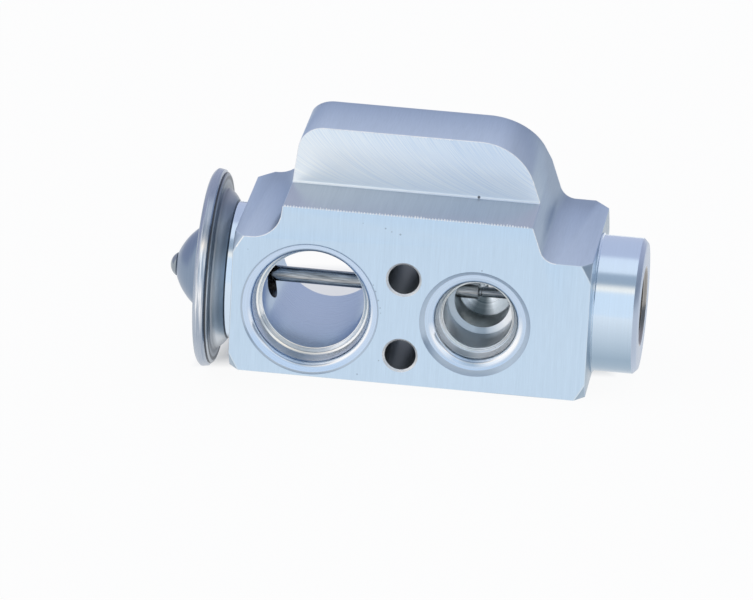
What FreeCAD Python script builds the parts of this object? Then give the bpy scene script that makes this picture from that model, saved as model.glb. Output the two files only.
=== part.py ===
import FreeCAD, Part
import math
import os

import Sketcher

# Block-type expansion valve for an air-conditioning circuit.
# Row frame: origin at the middle of the two bolt holes on the evaporator face,
# X along the valve axis from the power head to the adjusting screw,
# Y from the evaporator face to the line face, Z up through the ear. Millimetres.

os.makedirs("parts", exist_ok=True)
doc = FreeCAD.newDocument("expansion_valve")
sheet = doc.addObject("Spreadsheet::Sheet", "Sizes")


class Size:
    """A number together with the sheet expression that drives it."""

    def __init__(self, number, text):
        self.number = float(number)
        self.text = text

    def __add__(self, other):
        other = as_size(other)
        return Size(self.number + other.number, "(%s + %s)" % (self.text, other.text))

    def __sub__(self, other):
        other = as_size(other)
        return Size(self.number - other.number, "(%s - %s)" % (self.text, other.text))

    def __mul__(self, other):
        other = as_size(other)
        return Size(self.number * other.number, "(%s * %s)" % (self.text, other.text))

    def __truediv__(self, other):
        other = as_size(other)
        return Size(self.number / other.number, "(%s / %s)" % (self.text, other.text))

    def __neg__(self):
        return Size(-self.number, "(0 - %s)" % self.text)


def as_size(value):
    if isinstance(value, Size):
        return value
    return Size(value, repr(float(value)))


next_row = [1]


def size(alias, number, note):
    row = next_row[0]
    sheet.set("A%d" % row, note)
    sheet.set("B%d" % row, repr(number))
    sheet.setAlias("B%d" % row, alias)
    next_row[0] = row + 1
    return Size(number, "Sizes.%s" % alias)


def root(value):
    """Square root of a size, with its expression."""
    return Size(math.sqrt(value.number), "sqrt(%s)" % value.text)


def sine(value):
    return Size(math.sin(math.radians(value.number)), "sin(%s * 1deg)" % value.text)


def tangent(value):
    return Size(math.tan(math.radians(value.number)), "tan(%s * 1deg)" % value.text)


ZERO = as_size(0)

# How far a cut runs past the face it starts from
overrun = size("overrun", 1.0, "how far a cut runs past its face")

# Block outline
block_left = size("block_left", 35.0, "bolt plane to the head-side end face")
block_right = size("block_right", 37.8, "bolt plane to the screw-side end face")
block_half = size("block_half", 14.6, "valve axis to the shoulders and to the bottom")
block_depth = size("block_depth", 38.6, "evaporator face to line face")
axis_depth = size("axis_depth", 18.7, "evaporator face to the valve axis")
corner_turn = size("corner_turn", 21.6, "radius where the turned end chamfer starts")
corner_reach = size("corner_reach", 6.4, "how far that chamfer reaches along the block")

# Ear above the shoulders
ear_top = size("ear_top", 34.0, "valve axis to the top of the ear")
ear_left_root = size("ear_left_root", 26.1, "left flank at the shoulder")
ear_left_top = size("ear_left_top", 23.9, "left flank at the top")
ear_right_root = size("ear_right_root", 28.1, "right flank at the shoulder")
ear_right_top = size("ear_right_top", 21.05, "right flank at the top")
root_round_left = size("root_round_left", 6.0, "hollow between left shoulder and ear")
root_round_right = size("root_round_right", 3.5, "hollow between right shoulder and ear")
top_round_left = size("top_round_left", 5.3, "left top corner of the ear")
top_round_right = size("top_round_right", 12.0, "right top corner of the ear")
ledge_drop = size("ledge_drop", 12.2, "top of the ear down to the milled ledge")
ledge_depth = size("ledge_depth", 14.1, "evaporator face to the milled wall")
ledge_round = size("ledge_round", 0.6, "cutter radius in the ledge corner")
ear_back_inset = size("ear_back_inset", 8.0, "line face to the sloped back at the top")
ear_back_drop = size("ear_back_drop", 11.2, "top of the ear down to the foot of that slope")

# Turned bosses
head_boss_radius = size("head_boss_radius", 14.0, "boss under the power head")
head_boss_length = size("head_boss_length", 2.0, "its length")
screw_boss_radius = size("screw_boss_radius", 13.9, "boss around the adjusting screw")
screw_boss_bevel = size("screw_boss_bevel", 0.95, "bevel on its rim")
root_ring_rise = size("root_ring_rise", 0.35, "height of the low ring at its foot")
root_ring_length = size("root_ring_length", 0.4, "length of the low ring")

# Steps that the ports share
seat_start = size("seat_start", 2.35, "face to the start of the O-ring seat")
seat_shoulder = size("seat_shoulder", 0.25, "edge between lip and seat, radial")
seat_shoulder_depth = size("seat_shoulder_depth", 0.45, "the same along the port")
ridge_rise = size("ridge_rise", 0.7, "ridge inside the seat, radial")
ridge_slope = size("ridge_slope", 0.55, "its slope along the port")
ridge_land = size("ridge_land", 0.3, "its land along the port")
stub_lead = size("stub_lead", 0.25, "lead-in of a stub bore, both ways")
stub_length = size("stub_length", 8.0, "length of the stub bores")
bore_lead = size("bore_lead", 0.4, "step behind a stub bore, along the port")

# Suction passage
suction_x = size("suction_x", 18.85, "bolt plane to the suction passage")
suction_lip = size("suction_lip", 14.1, "lip radius on the evaporator face")
lip_break = size("lip_break", 0.35, "broken edge of that lip, radial")
lip_break_depth = size("lip_break_depth", 0.2, "the same along the port")
suction_seat = size("suction_seat", 11.9, "O-ring seat radius")
suction_seat_end = size("suction_seat_end", 4.0, "face to the end of that seat")
suction_stub = size("suction_stub", 10.45, "tube stub radius")
suction_step = size("suction_step", 0.25, "stub bore to the middle bore, radial")
suction_stub_start = size("suction_stub_start", 5.6, "face to the start of the stub bore")
suction_back_lip = size("suction_back_lip", 13.2, "lip radius on the line face")
suction_back_end = size("suction_back_end", 3.2, "line face to the stub bore")

# Evaporator inlet port
inlet_x = size("inlet_x", 14.85, "bolt plane to the evaporator inlet port")
inlet_lip = size("inlet_lip", 11.3, "lip radius")
inlet_bevel = size("inlet_bevel", 0.9, "bevel at the lip")
inlet_seat = size("inlet_seat", 8.4, "O-ring seat radius")
small_seat_end = size("small_seat_end", 3.4, "face to the end of the seats of both small ports")
small_stub_start = size("small_stub_start", 4.9, "face to the start of their stub bores")
inlet_stub = size("inlet_stub", 6.95, "tube stub radius")
inlet_deep = size("inlet_deep", 5.7, "inner bore radius")
inlet_past_axis = size("inlet_past_axis", 1.6, "valve axis to the end of the inner bore")

# Liquid line port, on the line face
liquid_offset = size("liquid_offset", 2.2, "seat of the ball to the liquid line port")
liquid_lip = size("liquid_lip", 9.3, "lip radius")
liquid_seat = size("liquid_seat", 7.2, "O-ring seat radius")
liquid_stub = size("liquid_stub", 5.9, "tube stub radius")
liquid_stub_length = size("liquid_stub_length", 5.5, "length of its stub bore")
liquid_deep = size("liquid_deep", 4.2, "inner bore radius")
liquid_floor = size("liquid_floor", 2.8, "valve axis to the end of the inner bore")
liquid_drill = size("liquid_drill", 1.0, "height of its drill point")

# Bolt holes
bolt_rise = size("bolt_rise", 8.2, "valve axis to each bolt hole")
bolt_hole = size("bolt_hole", 3.2, "bolt hole radius")
bolt_bevel = size("bolt_bevel", 0.4, "bevel at each mouth")
clamp_rise = size("clamp_rise", 17.2, "valve axis to the line clamp thread")
clamp_hole = size("clamp_hole", 3.4, "its core radius")
clamp_depth = size("clamp_depth", 16.0, "its depth")
clamp_bevel = size("clamp_bevel", 0.7, "bevel at its mouth")

# Power head, from the boss outward
edge_break = size("edge_break", 0.3, "bevel on turned pieces")
head_foot = size("head_foot", 14.0, "foot of the head on the boss")
drum_length = size("drum_length", 2.65, "foot to the back of the lower rim")
drum_fillet = size("drum_fillet", 0.5, "hollow between drum and rim")
lower_rim_depth = size("lower_rim_depth", 0.35, "back of the lower rim to the diaphragm")
cover_rim = size("cover_rim", 19.65, "radius of the welded seam")
seam_width = size("seam_width", 3.95, "seam to the inner edge of the clamped diaphragm")
upper_proud = size("upper_proud", 0.7, "how far the upper rim stands past the seam")
lower_shy = size("lower_shy", 0.1, "how far the lower rim stays below the seam")
lower_edge = size("lower_edge", 0.08, "seam to the rounding of the lower rim")
lower_rim_round = size("lower_rim_round", 0.6, "rounding of the lower rim, radial")
drum_inset = size("drum_inset", 3.25, "seam to the drum, radial")
cover_gauge = size("cover_gauge", 1.0, "sheet thickness of the covers")
floor_inset = size("floor_inset", 0.45, "foot to the floor inside the drum, radial")
neck_radius = size("neck_radius", 7.9, "neck of the lower cover")
neck_play = size("neck_play", 0.1, "neck in its bore, radial")
neck_length = size("neck_length", 5.6, "length of the neck")
neck_gap = size("neck_gap", 0.4, "end of the neck to the floor of its bore")
neck_wall = size("neck_wall", 2.4, "wall of the neck")
neck_bevel = size("neck_bevel", 0.5, "bevel at its end")
seam_gap = size("seam_gap", 0.2, "diaphragm thickness")
upper_edge = size("upper_edge", 0.3, "seam to the lip of the upper rim")
upper_lip = size("upper_lip", 0.2, "lip to the widest place, radial")
upper_widest = size("upper_widest", 1.5, "seam to the widest place of the upper rim")
crown_depth = size("crown_depth", 2.5, "seam to the crown of the upper rim")
crown_round = size("crown_round", 2.15, "widest place to the crown, radial")
crown_land = size("crown_land", 1.4, "flat on the crown")
dish_depth = size("dish_depth", 2.2, "seam to the dish inside the rim")
dish_round = size("dish_round", 1.5, "crown to the dish, radial")
dome_foot = size("dome_foot", 11.2, "radius where the dome rises from the dish")
dome_shoulder = size("dome_shoulder", 8.05, "radius where it turns inward")
dome_shoulder_rise = size("dome_shoulder_rise", 2.05, "dish to that shoulder")
dome_rise = size("dome_rise", 6.3, "dish to the tip of the dome")
dome_flat = size("dome_flat", 2.25, "flat at the tip")
dome_flat_edge = size("dome_flat_edge", 0.2, "its edge, radial")
dome_wall = size("dome_wall", 1.35, "thickness at the tip")
dome_hollow = size("dome_hollow", 0.7, "hollow of the dome past the flat, radial")
dome_inset = size("dome_inset", 0.5, "wall at the shoulder, radial")
dome_sink = size("dome_sink", 1.0, "wall at the shoulder, along the axis")
foot_inset = size("foot_inset", 0.8, "wall at the foot of the dome, radial")
rim_slope = size("rim_slope", 1.2, "slope inside the rim, radial")
rim_room = size("rim_room", 0.3, "the same along the axis")
plug_hole = size("plug_hole", 1.25, "charging hole in the dome")
plug_cap = size("plug_cap", 2.4, "radius of the plug's head")
plug_rise = size("plug_rise", 1.4, "height of the plug's head")
plug_sink = size("plug_sink", 2.05, "how far the plug reaches in")
seal_section = size("seal_section", 0.8, "section radius of the head's O-ring")
seal_play = size("seal_play", 0.1, "neck to that O-ring, radial")
seal_room = size("seal_room", 0.2, "O-ring to the wall of its groove, radial")

# Moving train
plate_margin = size("plate_margin", 3.2, "clamped edge of the diaphragm to the plate")
plate_gauge = size("plate_gauge", 0.8, "thickness of the pressure plate")
plate_bevel = size("plate_bevel", 0.3, "bevel of the plate and its hub")
fold_width = size("fold_width", 0.6, "width of each fold of the diaphragm")
fold_height = size("fold_height", 0.35, "height of the fold")
hub_wall = size("hub_wall", 2.0, "wall of the hub around the rod")
hub_length = size("hub_length", 3.0, "length of the hub")
rod_radius = size("rod_radius", 1.6, "sensing rod")
rod_play = size("rod_play", 0.04, "radial running clearance of the rod")
rod_socket = size("rod_socket", 1.2, "diaphragm to the end of the rod in the hub")
rod_shy = size("rod_shy", 1.1, "axis of the inlet port to the end of the rod")
rod_window = size("rod_window", 5.1, "hole from the head into the suction passage")
packing_wall = size("packing_wall", 1.76, "width of the packing around the rod")
packing_depth = size("packing_depth", 4.65, "suction passage to the end of the packing")
retainer_sink = size("retainer_sink", 0.5, "how far the retainer lies below the passage wall")
retainer_play = size("retainer_play", 0.3, "rod in the retainer, radial")
pin_radius = size("pin_radius", 1.05, "actuating pin")
pin_neck = size("pin_neck", 0.1, "depth of the neck at its start")
neck_width = size("neck_width", 0.35, "width of that neck")
pin_bevel = size("pin_bevel", 0.15, "bevel behind the neck")
orifice_radius = size("orifice_radius", 1.9, "metering orifice")
orifice_length = size("orifice_length", 3.45, "inlet port to the seat of the ball")
seat_cone_width = size("seat_cone_width", 1.6, "cone around the seat, radial")
seat_cone_depth = size("seat_cone_depth", 0.6, "the same along the axis")
ball_radius = size("ball_radius", 2.5, "valve ball")
seat_play = size("seat_play", 0.02, "gap between ball and seat edge")
cup_radius = size("cup_radius", 3.0, "mouth of the ball carrier's cup")
cup_wall = size("cup_wall", 0.6, "wall of the cup at its mouth")
cup_angle = size("cup_angle", 60.0, "slant of the cup to the axis, in degrees")
cup_depth = size("cup_depth", 2.85, "centre of the ball to the spring flange")
flange_gauge = size("flange_gauge", 0.8, "thickness of the flange")
flange_rim = size("flange_rim", 0.85, "flange past the spring")
wire_radius = size("wire_radius", 0.45, "spring wire")
coil_radius = size("coil_radius", 3.7, "mean radius of the spring")
spigot_play = size("spigot_play", 0.45, "spigot in the spring, radial")
spigot_length = size("spigot_length", 2.2, "length of the spigot")
damper_gauge = size("damper_gauge", 0.3, "sheet thickness of the damping spring")
damper_play = size("damper_play", 0.05, "play between its fingers and the chamber")
damper_room = size("damper_room", 0.03, "play around the carrier")
damper_bend = size("damper_bend", 0.8, "bend of its fingers")
finger_length = size("finger_length", 2.6, "length of the fingers")
finger_gap = size("finger_gap", 1.8, "gap between two fingers")
gap_inset = size("gap_inset", 1.6, "chamber wall to the inner end of each gap")

# Adjusting screw and its bore
screw_gap = size("screw_gap", 2.1, "flange to the nose of the screw")
pocket_play = size("pocket_play", 0.45, "spring in the screw's pocket, radial")
pocket_depth = size("pocket_depth", 4.6, "depth of that pocket")
pocket_wall = size("pocket_wall", 0.8, "wall between pocket and groove")
groove_depth = size("groove_depth", 1.5, "depth of the screw's groove to the chamber wall")
groove_start = size("groove_start", 0.8, "nose to the groove")
groove_width = size("groove_width", 1.8, "width of the groove")
ring_play = size("ring_play", 0.03, "play of the screw seal, each side")
nose_play = size("nose_play", 0.15, "nose play in the chamber, radial")
nose_bevel = size("nose_bevel", 0.4, "bevel of the nose")
chamber_length = size("chamber_length", 11.0, "length of the ball chamber")
bore_step = size("bore_step", 0.6, "chamber to the threaded bore, both ways")
shoulder_gap = size("shoulder_gap", 1.4, "that step to the thread of the screw")
shoulder_bevel = size("shoulder_bevel", 0.5, "bevel at the start of its thread")
thread_length = size("thread_length", 4.4, "length of its thread")
screw_play = size("screw_play", 0.15, "thread play, radial")
head_bevel = size("head_bevel", 0.6, "bevel at the outer face")
mouth_bevel = size("mouth_bevel", 0.75, "bevel at the mouth of the bore")
mouth_depth = size("mouth_depth", 5.2, "end of the boss down to the screw")
socket_flats = size("socket_flats", 6.0, "hexagon socket across flats")
socket_depth = size("socket_depth", 4.0, "its depth")

# Places that follow from the sizes above, along the valve axis
boss_face = -block_left - head_boss_length
seam_right = boss_face - drum_length - lower_rim_depth
seam_left = seam_right - seam_gap
passage_right = -suction_x + suction_stub - suction_step
packing_end = passage_right + packing_depth
rod_end = inlet_x - rod_shy
orifice_face = inlet_x + inlet_deep + orifice_length
liquid_x = orifice_face + liquid_offset
chamber_start = orifice_face + seat_cone_depth
chamber_end = chamber_start + chamber_length
ball_reach = root(ball_radius * ball_radius - orifice_radius * orifice_radius)
ball_x = orifice_face + ball_reach + seat_play
flange_start = ball_x + cup_depth
flange_end = flange_start + flange_gauge
screw_nose = flange_end + screw_gap
pocket_floor = screw_nose + pocket_depth
screw_shoulder = chamber_end + bore_step + shoulder_gap
screw_face = screw_shoulder + thread_length
boss_end = screw_face + mouth_depth

# Radii that follow
lower_rim = cover_rim - lower_shy
upper_rim = cover_rim + upper_proud
clamp_land = cover_rim - seam_width
drum_radius = cover_rim - drum_inset
plate_radius = clamp_land - plate_margin
neck_bore = neck_radius + neck_play
packing_radius = rod_radius + packing_wall + rod_play
spring_pocket = coil_radius + wire_radius + pocket_play
screw_groove = spring_pocket + pocket_wall
chamber_radius = screw_groove + groove_depth
screw_bore = chamber_radius + bore_step
carrier_radius = cup_radius + cup_wall
carrier_flange = coil_radius + wire_radius + flange_rim

# Shares and ratios: arcs are given by the tangent of a quarter of their angle
COIL_HALVES = 7
FINGERS = 8
DRILL_POINT = 0.6
FLARE_BOW = 0.2
SEAT_BOW = 0.19
FOOT_BOW = 0.12
RIM_BOW = 0.3
FILLET_BOW = 0.41
UPPER_RIM_BOW = 0.33
DISH_BOW = 0.3
DOME_FOOT_BOW = 0.32
DOME_BOW = 0.14

doc.recompute()


def origin_plane(body, role):
    for feature in body.Origin.OriginFeatures:
        if feature.Role == role:
            return feature
    raise ValueError(role)


def new_body(label):
    body = doc.addObject("PartDesign::Body", label)
    body.Label = label
    return body


def new_sketch(body, name, role):
    sketch = body.newObject("Sketcher::SketchObject", name)
    sketch.AttachmentSupport = (origin_plane(body, role), [""])
    sketch.MapMode = "FlatFace"
    return sketch


def fix_point(sketch, geometry, point, across, up):
    """Ties a sketch point to the sheet by its two coordinates."""
    for kind, axis, value in (("DistanceX", -2, across), ("DistanceY", -1, up)):
        if abs(value.number) < 1e-9:
            sketch.addConstraint(Sketcher.Constraint("PointOnObject", geometry, point, axis))
            continue
        index = sketch.addConstraint(
            Sketcher.Constraint(kind, -1, 1, geometry, point, value.number)
        )
        if "Sizes" in value.text:
            sketch.setExpression("Constraints[%d]" % index, value.text)


def arc_between(start, end, bow):
    """Circle arc from start to end, and the numbers of its two ends. The bow is the
    tangent of a quarter of its angle, above 0 where the arc turns counter-clockwise."""
    chord = end - start
    side = FreeCAD.Vector(-chord.y, chord.x, 0)
    centre = (start + end) * 0.5 + side * ((1 - bow * bow) / (4 * bow))
    first = math.atan2(start.y - centre.y, start.x - centre.x)
    last = math.atan2(end.y - centre.y, end.x - centre.x)
    circle = Part.Circle(centre, FreeCAD.Vector(0, 0, 1), (start - centre).Length)
    if bow > 0:
        return Part.ArcOfCircle(circle, first, last), 1, 2
    return Part.ArcOfCircle(circle, last, first), 2, 1


def arc_radius(start, end, bow):
    """Radius of that arc as a size."""
    across = end[0] - start[0]
    up = end[1] - start[1]
    width = bow if bow.number > 0 else -bow
    return root(across * across + up * up) * (width * width + 1) / (width * 4)


def outline(sketch, points):
    """Closed outline. A point is (across, up), or (across, up, bow) where an arc of
    that bow runs on to the next point."""
    ends = []
    corners = [(as_size(p[0]), as_size(p[1])) for p in points]
    places = [FreeCAD.Vector(c[0].number, c[1].number, 0) for c in corners]
    for number, point in enumerate(points):
        following = (number + 1) % len(points)
        here = places[number]
        there = places[following]
        if len(point) == 3:
            bow = as_size(point[2])
            arc, first, last = arc_between(here, there, bow.number)
            radius = arc_radius(corners[number], corners[following], bow)
            geometry = sketch.addGeometry(arc, False)
            ends.append((geometry, first, last, radius))
        else:
            geometry = sketch.addGeometry(Part.LineSegment(here, there), False)
            ends.append((geometry, 1, 2, None))
    for number in range(len(points)):
        this = ends[number]
        following = ends[(number + 1) % len(points)]
        sketch.addConstraint(
            Sketcher.Constraint("Coincident", this[0], this[2], following[0], following[1])
        )
    for number, corner in enumerate(corners):
        fix_point(sketch, ends[number][0], ends[number][1], corner[0], corner[1])
    for geometry, first, last, radius in ends:
        if radius is None:
            continue
        index = sketch.addConstraint(Sketcher.Constraint("Radius", geometry, radius.number))
        if "Sizes" in radius.text:
            sketch.setExpression("Constraints[%d]" % index, radius.text)


def circle_at(sketch, across, up, radius):
    centre = FreeCAD.Vector(across.number, up.number, 0)
    circle = Part.Circle(centre, FreeCAD.Vector(0, 0, 1), radius.number)
    geometry = sketch.addGeometry(circle, False)
    fix_point(sketch, geometry, 3, across, up)
    index = sketch.addConstraint(Sketcher.Constraint("Radius", geometry, radius.number))
    sketch.setExpression("Constraints[%d]" % index, radius.text)


def revolve(body, name, sketch, kind, axis=None):
    """Revolves a sketch about its own X, or about a line given by two points."""
    reference = "H_Axis"
    if axis is not None:
        start, end = axis
        line = Part.LineSegment(
            FreeCAD.Vector(start[0].number, start[1].number, 0),
            FreeCAD.Vector(end[0].number, end[1].number, 0),
        )
        geometry = sketch.addGeometry(line, True)
        fix_point(sketch, geometry, 1, start[0], start[1])
        fix_point(sketch, geometry, 2, end[0], end[1])
        reference = "Axis0"
    feature = body.newObject("PartDesign::" + kind, name)
    feature.Profile = sketch
    feature.ReferenceAxis = (sketch, [reference])
    feature.Angle = 360
    doc.recompute()
    return feature


def turned(body, name, points, kind="Revolution", axis=None):
    sketch = new_sketch(body, name + "_outline", "XY_Plane")
    outline(sketch, points)
    return revolve(body, name, sketch, kind, axis)


def cut_through(body, name, sketch, both_ways=True, length=None, reverse=False):
    pocket = body.newObject("PartDesign::Pocket", name)
    pocket.Profile = sketch
    if length is None:
        pocket.Type = "ThroughAll"
        pocket.Midplane = both_ways
    else:
        pocket.Type = "Length"
        pocket.Length = length.number
        pocket.setExpression("Length", length.text)
    pocket.Reversed = reverse
    doc.recompute()
    return pocket


def rounded(body, name, base, edges, radius):
    feature = body.newObject("PartDesign::Fillet", name)
    feature.Base = (base, edges)
    feature.Radius = radius.number
    feature.setExpression("Radius", radius.text)
    doc.recompute()
    return feature


def bevelled(body, name, base, edges, width):
    feature = body.newObject("PartDesign::Chamfer", name)
    feature.Base = (base, edges)
    feature.Size = width.number
    feature.setExpression("Size", width.text)
    doc.recompute()
    return feature


def edges_where(shape, wanted):
    found = []
    for number, edge in enumerate(shape.Edges):
        if wanted(edge):
            found.append("Edge%d" % (number + 1))
    if not found:
        raise ValueError("no edge found")
    return found


def along_depth(across, up):
    """Picks the straight edge that runs along Y at the given X and Z."""

    def wanted(edge):
        box = edge.BoundBox
        near = abs(box.Center.x - across.number) < 0.01 and abs(box.Center.z - up.number) < 0.01
        return near and box.XLength < 0.01 and box.ZLength < 0.01

    return wanted


def on_axis(body):
    """Stands a piece that was turned about its own X on the valve axis."""
    body.Placement = FreeCAD.Placement(
        FreeCAD.Vector(0, axis_depth.number, 0), FreeCAD.Rotation()
    )
    body.setExpression("Placement.Base.y", axis_depth.text)
    return body


def stand(piece, along, lean):
    """Puts a piece's origin on the valve axis and leans its Z towards X."""
    piece.Placement = FreeCAD.Placement(
        FreeCAD.Vector(along.number, axis_depth.number, 0),
        FreeCAD.Rotation(FreeCAD.Vector(0, 1, 0), lean),
    )
    piece.setExpression("Placement.Base.x", along.text)
    piece.setExpression("Placement.Base.y", axis_depth.text)


def ring_seal(label, along, radius, section):
    """O-ring about the valve axis."""
    body = new_body(label)
    sketch = new_sketch(body, label + "_section", "XY_Plane")
    circle_at(sketch, along, radius, section)
    revolve(body, label + "_ring", sketch, "Revolution")
    pieces.append(on_axis(body))


pieces = []


def valve_body():
    body = new_body("valve_body")
    profile = new_sketch(body, "block_profile", "XZ_Plane")
    outline(
        profile,
        [
            (-block_left, -block_half),
            (block_right, -block_half),
            (block_right, block_half),
            (ear_right_root, block_half),
            (ear_right_top, ear_top),
            (-ear_left_top, ear_top),
            (-ear_left_root, block_half),
            (-block_left, block_half),
        ],
    )
    block = body.newObject("PartDesign::Pad", "block")
    block.Profile = profile
    block.Length = block_depth.number
    block.setExpression("Length", block_depth.text)
    block.Reversed = True
    doc.recompute()
    base = block
    for name, across, up, radius in (
        ("root_left", -ear_left_root, block_half, root_round_left),
        ("root_right", ear_right_root, block_half, root_round_right),
        ("top_left", -ear_left_top, ear_top, top_round_left),
        ("top_right", ear_right_top, ear_top, top_round_right),
    ):
        edges = edges_where(base.Shape, along_depth(across, up))
        base = rounded(body, name, base, edges, radius)

    # Milled ledge at the front of the ear and the slope at its back
    side = new_sketch(body, "ear_side", "YZ_Plane")
    above = ear_top + overrun
    ledge_height = ear_top - ledge_drop
    outline(
        side,
        [
            (-overrun, ledge_height),
            (ledge_depth, ledge_height),
            (ledge_depth, above),
            (-overrun, above),
        ],
    )
    slope = ear_back_inset / ear_back_drop
    outline(
        side,
        [
            (block_depth + slope * overrun, ear_top - ear_back_drop - overrun),
            (block_depth + slope * overrun, above),
            (block_depth - ear_back_inset - slope * overrun, above),
        ],
    )
    ear = cut_through(body, "ear_cuts", side)

    def ledge_corner(edge):
        box = edge.BoundBox
        return (
            box.YLength < 0.01
            and box.ZLength < 0.01
            and abs(box.Center.y - ledge_depth.number) < 0.01
            and abs(box.Center.z - ledge_height.number) < 0.01
        )

    rounded(body, "ledge_corner", ear, edges_where(ear.Shape, ledge_corner), ledge_round)

    # Turned chamfers on the block's end corners
    axis = ((ZERO, axis_depth), (block_right, axis_depth))
    corner_clear = corner_turn + corner_reach
    turned(
        body,
        "head_end_chamfer",
        [
            (-block_left - overrun, axis_depth + corner_turn - overrun),
            (-block_left + corner_reach, axis_depth + corner_clear),
            (-block_left - overrun, axis_depth + corner_clear),
        ],
        "Groove",
        axis,
    )
    turned(
        body,
        "screw_end_chamfer",
        [
            (block_right + overrun, axis_depth + corner_turn - overrun),
            (block_right + overrun, axis_depth + corner_clear),
            (block_right - corner_reach, axis_depth + corner_clear),
        ],
        "Groove",
        axis,
    )

    # Bosses under the head and around the adjusting screw
    turned(
        body,
        "head_boss",
        [
            (boss_face, axis_depth),
            (-block_left + overrun, axis_depth),
            (-block_left + overrun, axis_depth + head_boss_radius),
            (boss_face, axis_depth + head_boss_radius),
        ],
        "Revolution",
        axis,
    )
    turned(
        body,
        "screw_boss",
        [
            (block_right - overrun, axis_depth),
            (boss_end, axis_depth),
            (boss_end, axis_depth + screw_boss_radius - screw_boss_bevel),
            (boss_end - screw_boss_bevel, axis_depth + screw_boss_radius),
            (block_right + root_ring_length, axis_depth + screw_boss_radius),
            (block_right + root_ring_length, axis_depth + screw_boss_radius + root_ring_rise),
            (block_right - overrun, axis_depth + screw_boss_radius + root_ring_rise),
        ],
        "Revolution",
        axis,
    )

    # Suction passage, from the evaporator face to the line face
    def port_axis(across):
        return ((across, ZERO), (across, block_depth))

    centre = -suction_x
    far = block_depth
    middle = suction_stub - suction_step
    stub_end = suction_stub_start + stub_length
    turned(
        body,
        "suction_passage",
        [
            (centre, -overrun),
            (centre + suction_lip, -overrun),
            (centre + suction_lip, ZERO),
            (centre + suction_lip - lip_break, lip_break_depth, FLARE_BOW),
            (centre + suction_seat + seat_shoulder, seat_start - seat_shoulder_depth, -SEAT_BOW),
            (centre + suction_seat, seat_start),
            (centre + suction_seat, suction_seat_end),
            (centre + suction_seat - ridge_rise, suction_seat_end + ridge_slope),
            (centre + suction_seat - ridge_rise, suction_seat_end + ridge_slope + ridge_land),
            (centre + suction_stub + stub_lead, suction_stub_start - stub_lead),
            (centre + suction_stub + stub_lead, suction_stub_start),
            (centre + suction_stub, suction_stub_start),
            (centre + suction_stub, stub_end),
            (centre + middle, stub_end + bore_lead),
            (centre + middle, far - stub_end - bore_lead),
            (centre + suction_stub, far - stub_end),
            (centre + suction_stub, far - suction_back_end),
            (centre + suction_seat, far - seat_start),
            (centre + suction_back_lip, far),
            (centre + suction_back_lip, far + overrun),
            (centre, far + overrun),
        ],
        "Groove",
        port_axis(centre),
    )

    # Evaporator inlet port, blind, with a drilled floor
    centre = inlet_x
    stub_end = small_stub_start + stub_length
    deep_end = axis_depth + inlet_past_axis
    turned(
        body,
        "inlet_port",
        [
            (centre, -overrun),
            (centre + inlet_lip, -overrun),
            (centre + inlet_lip, ZERO),
            (centre + inlet_lip - inlet_bevel, inlet_bevel),
            (centre + inlet_seat + seat_shoulder, seat_start - seat_shoulder_depth, -SEAT_BOW),
            (centre + inlet_seat, seat_start),
            (centre + inlet_seat, small_seat_end),
            (centre + inlet_seat - ridge_rise, small_seat_end + ridge_slope),
            (centre + inlet_seat - ridge_rise, small_seat_end + ridge_slope + ridge_land),
            (centre + inlet_stub, small_stub_start),
            (centre + inlet_stub, stub_end),
            (centre + inlet_deep, stub_end + bore_lead),
            (centre + inlet_deep, deep_end),
            (centre, deep_end + inlet_deep * DRILL_POINT),
        ],
        "Groove",
        port_axis(centre),
    )

    # Liquid line port on the line face, down into the ball chamber
    centre = liquid_x
    stub_end = small_stub_start + liquid_stub_length
    turned(
        body,
        "liquid_port",
        [
            (centre, far + overrun),
            (centre + liquid_lip, far + overrun),
            (centre + liquid_lip, far),
            (centre + liquid_seat, far - seat_start),
            (centre + liquid_seat, far - small_seat_end),
            (centre + liquid_stub, far - small_stub_start),
            (centre + liquid_stub, far - stub_end),
            (centre + liquid_deep, far - stub_end - bore_lead),
            (centre + liquid_deep, axis_depth + liquid_floor),
            (centre, axis_depth + liquid_floor - liquid_drill),
        ],
        "Groove",
        port_axis(centre),
    )

    # Bolt holes through the block
    holes = new_sketch(body, "bolt_holes_outline", "XZ_Plane")
    circle_at(holes, ZERO, bolt_rise, bolt_hole)
    circle_at(holes, ZERO, -bolt_rise, bolt_hole)
    drilled = cut_through(body, "bolt_holes", holes)

    def bolt_mouth(edge):
        box = edge.BoundBox
        return (
            box.YLength < 0.01
            and abs(box.Center.x) < 0.01
            and abs(abs(box.Center.z) - bolt_rise.number) < 0.01
            and abs(box.XLength - 2 * bolt_hole.number) < 0.01
        )

    bevelled(body, "bolt_bevels", drilled, edges_where(drilled.Shape, bolt_mouth), bolt_bevel)

    # Threaded hole for the line clamp, blind, from the line face
    sketch = new_sketch(body, "clamp_hole_outline", "YZ_Plane")
    outline(
        sketch,
        [
            (far + overrun, clamp_rise),
            (far + overrun, clamp_rise + clamp_hole + clamp_bevel),
            (far, clamp_rise + clamp_hole + clamp_bevel),
            (far - clamp_bevel, clamp_rise + clamp_hole),
            (far - clamp_depth, clamp_rise + clamp_hole),
            (far - clamp_depth - clamp_hole * DRILL_POINT, clamp_rise),
        ],
    )
    revolve(body, "clamp_thread", sketch, "Groove", ((ZERO, clamp_rise), (far, clamp_rise)))

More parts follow.
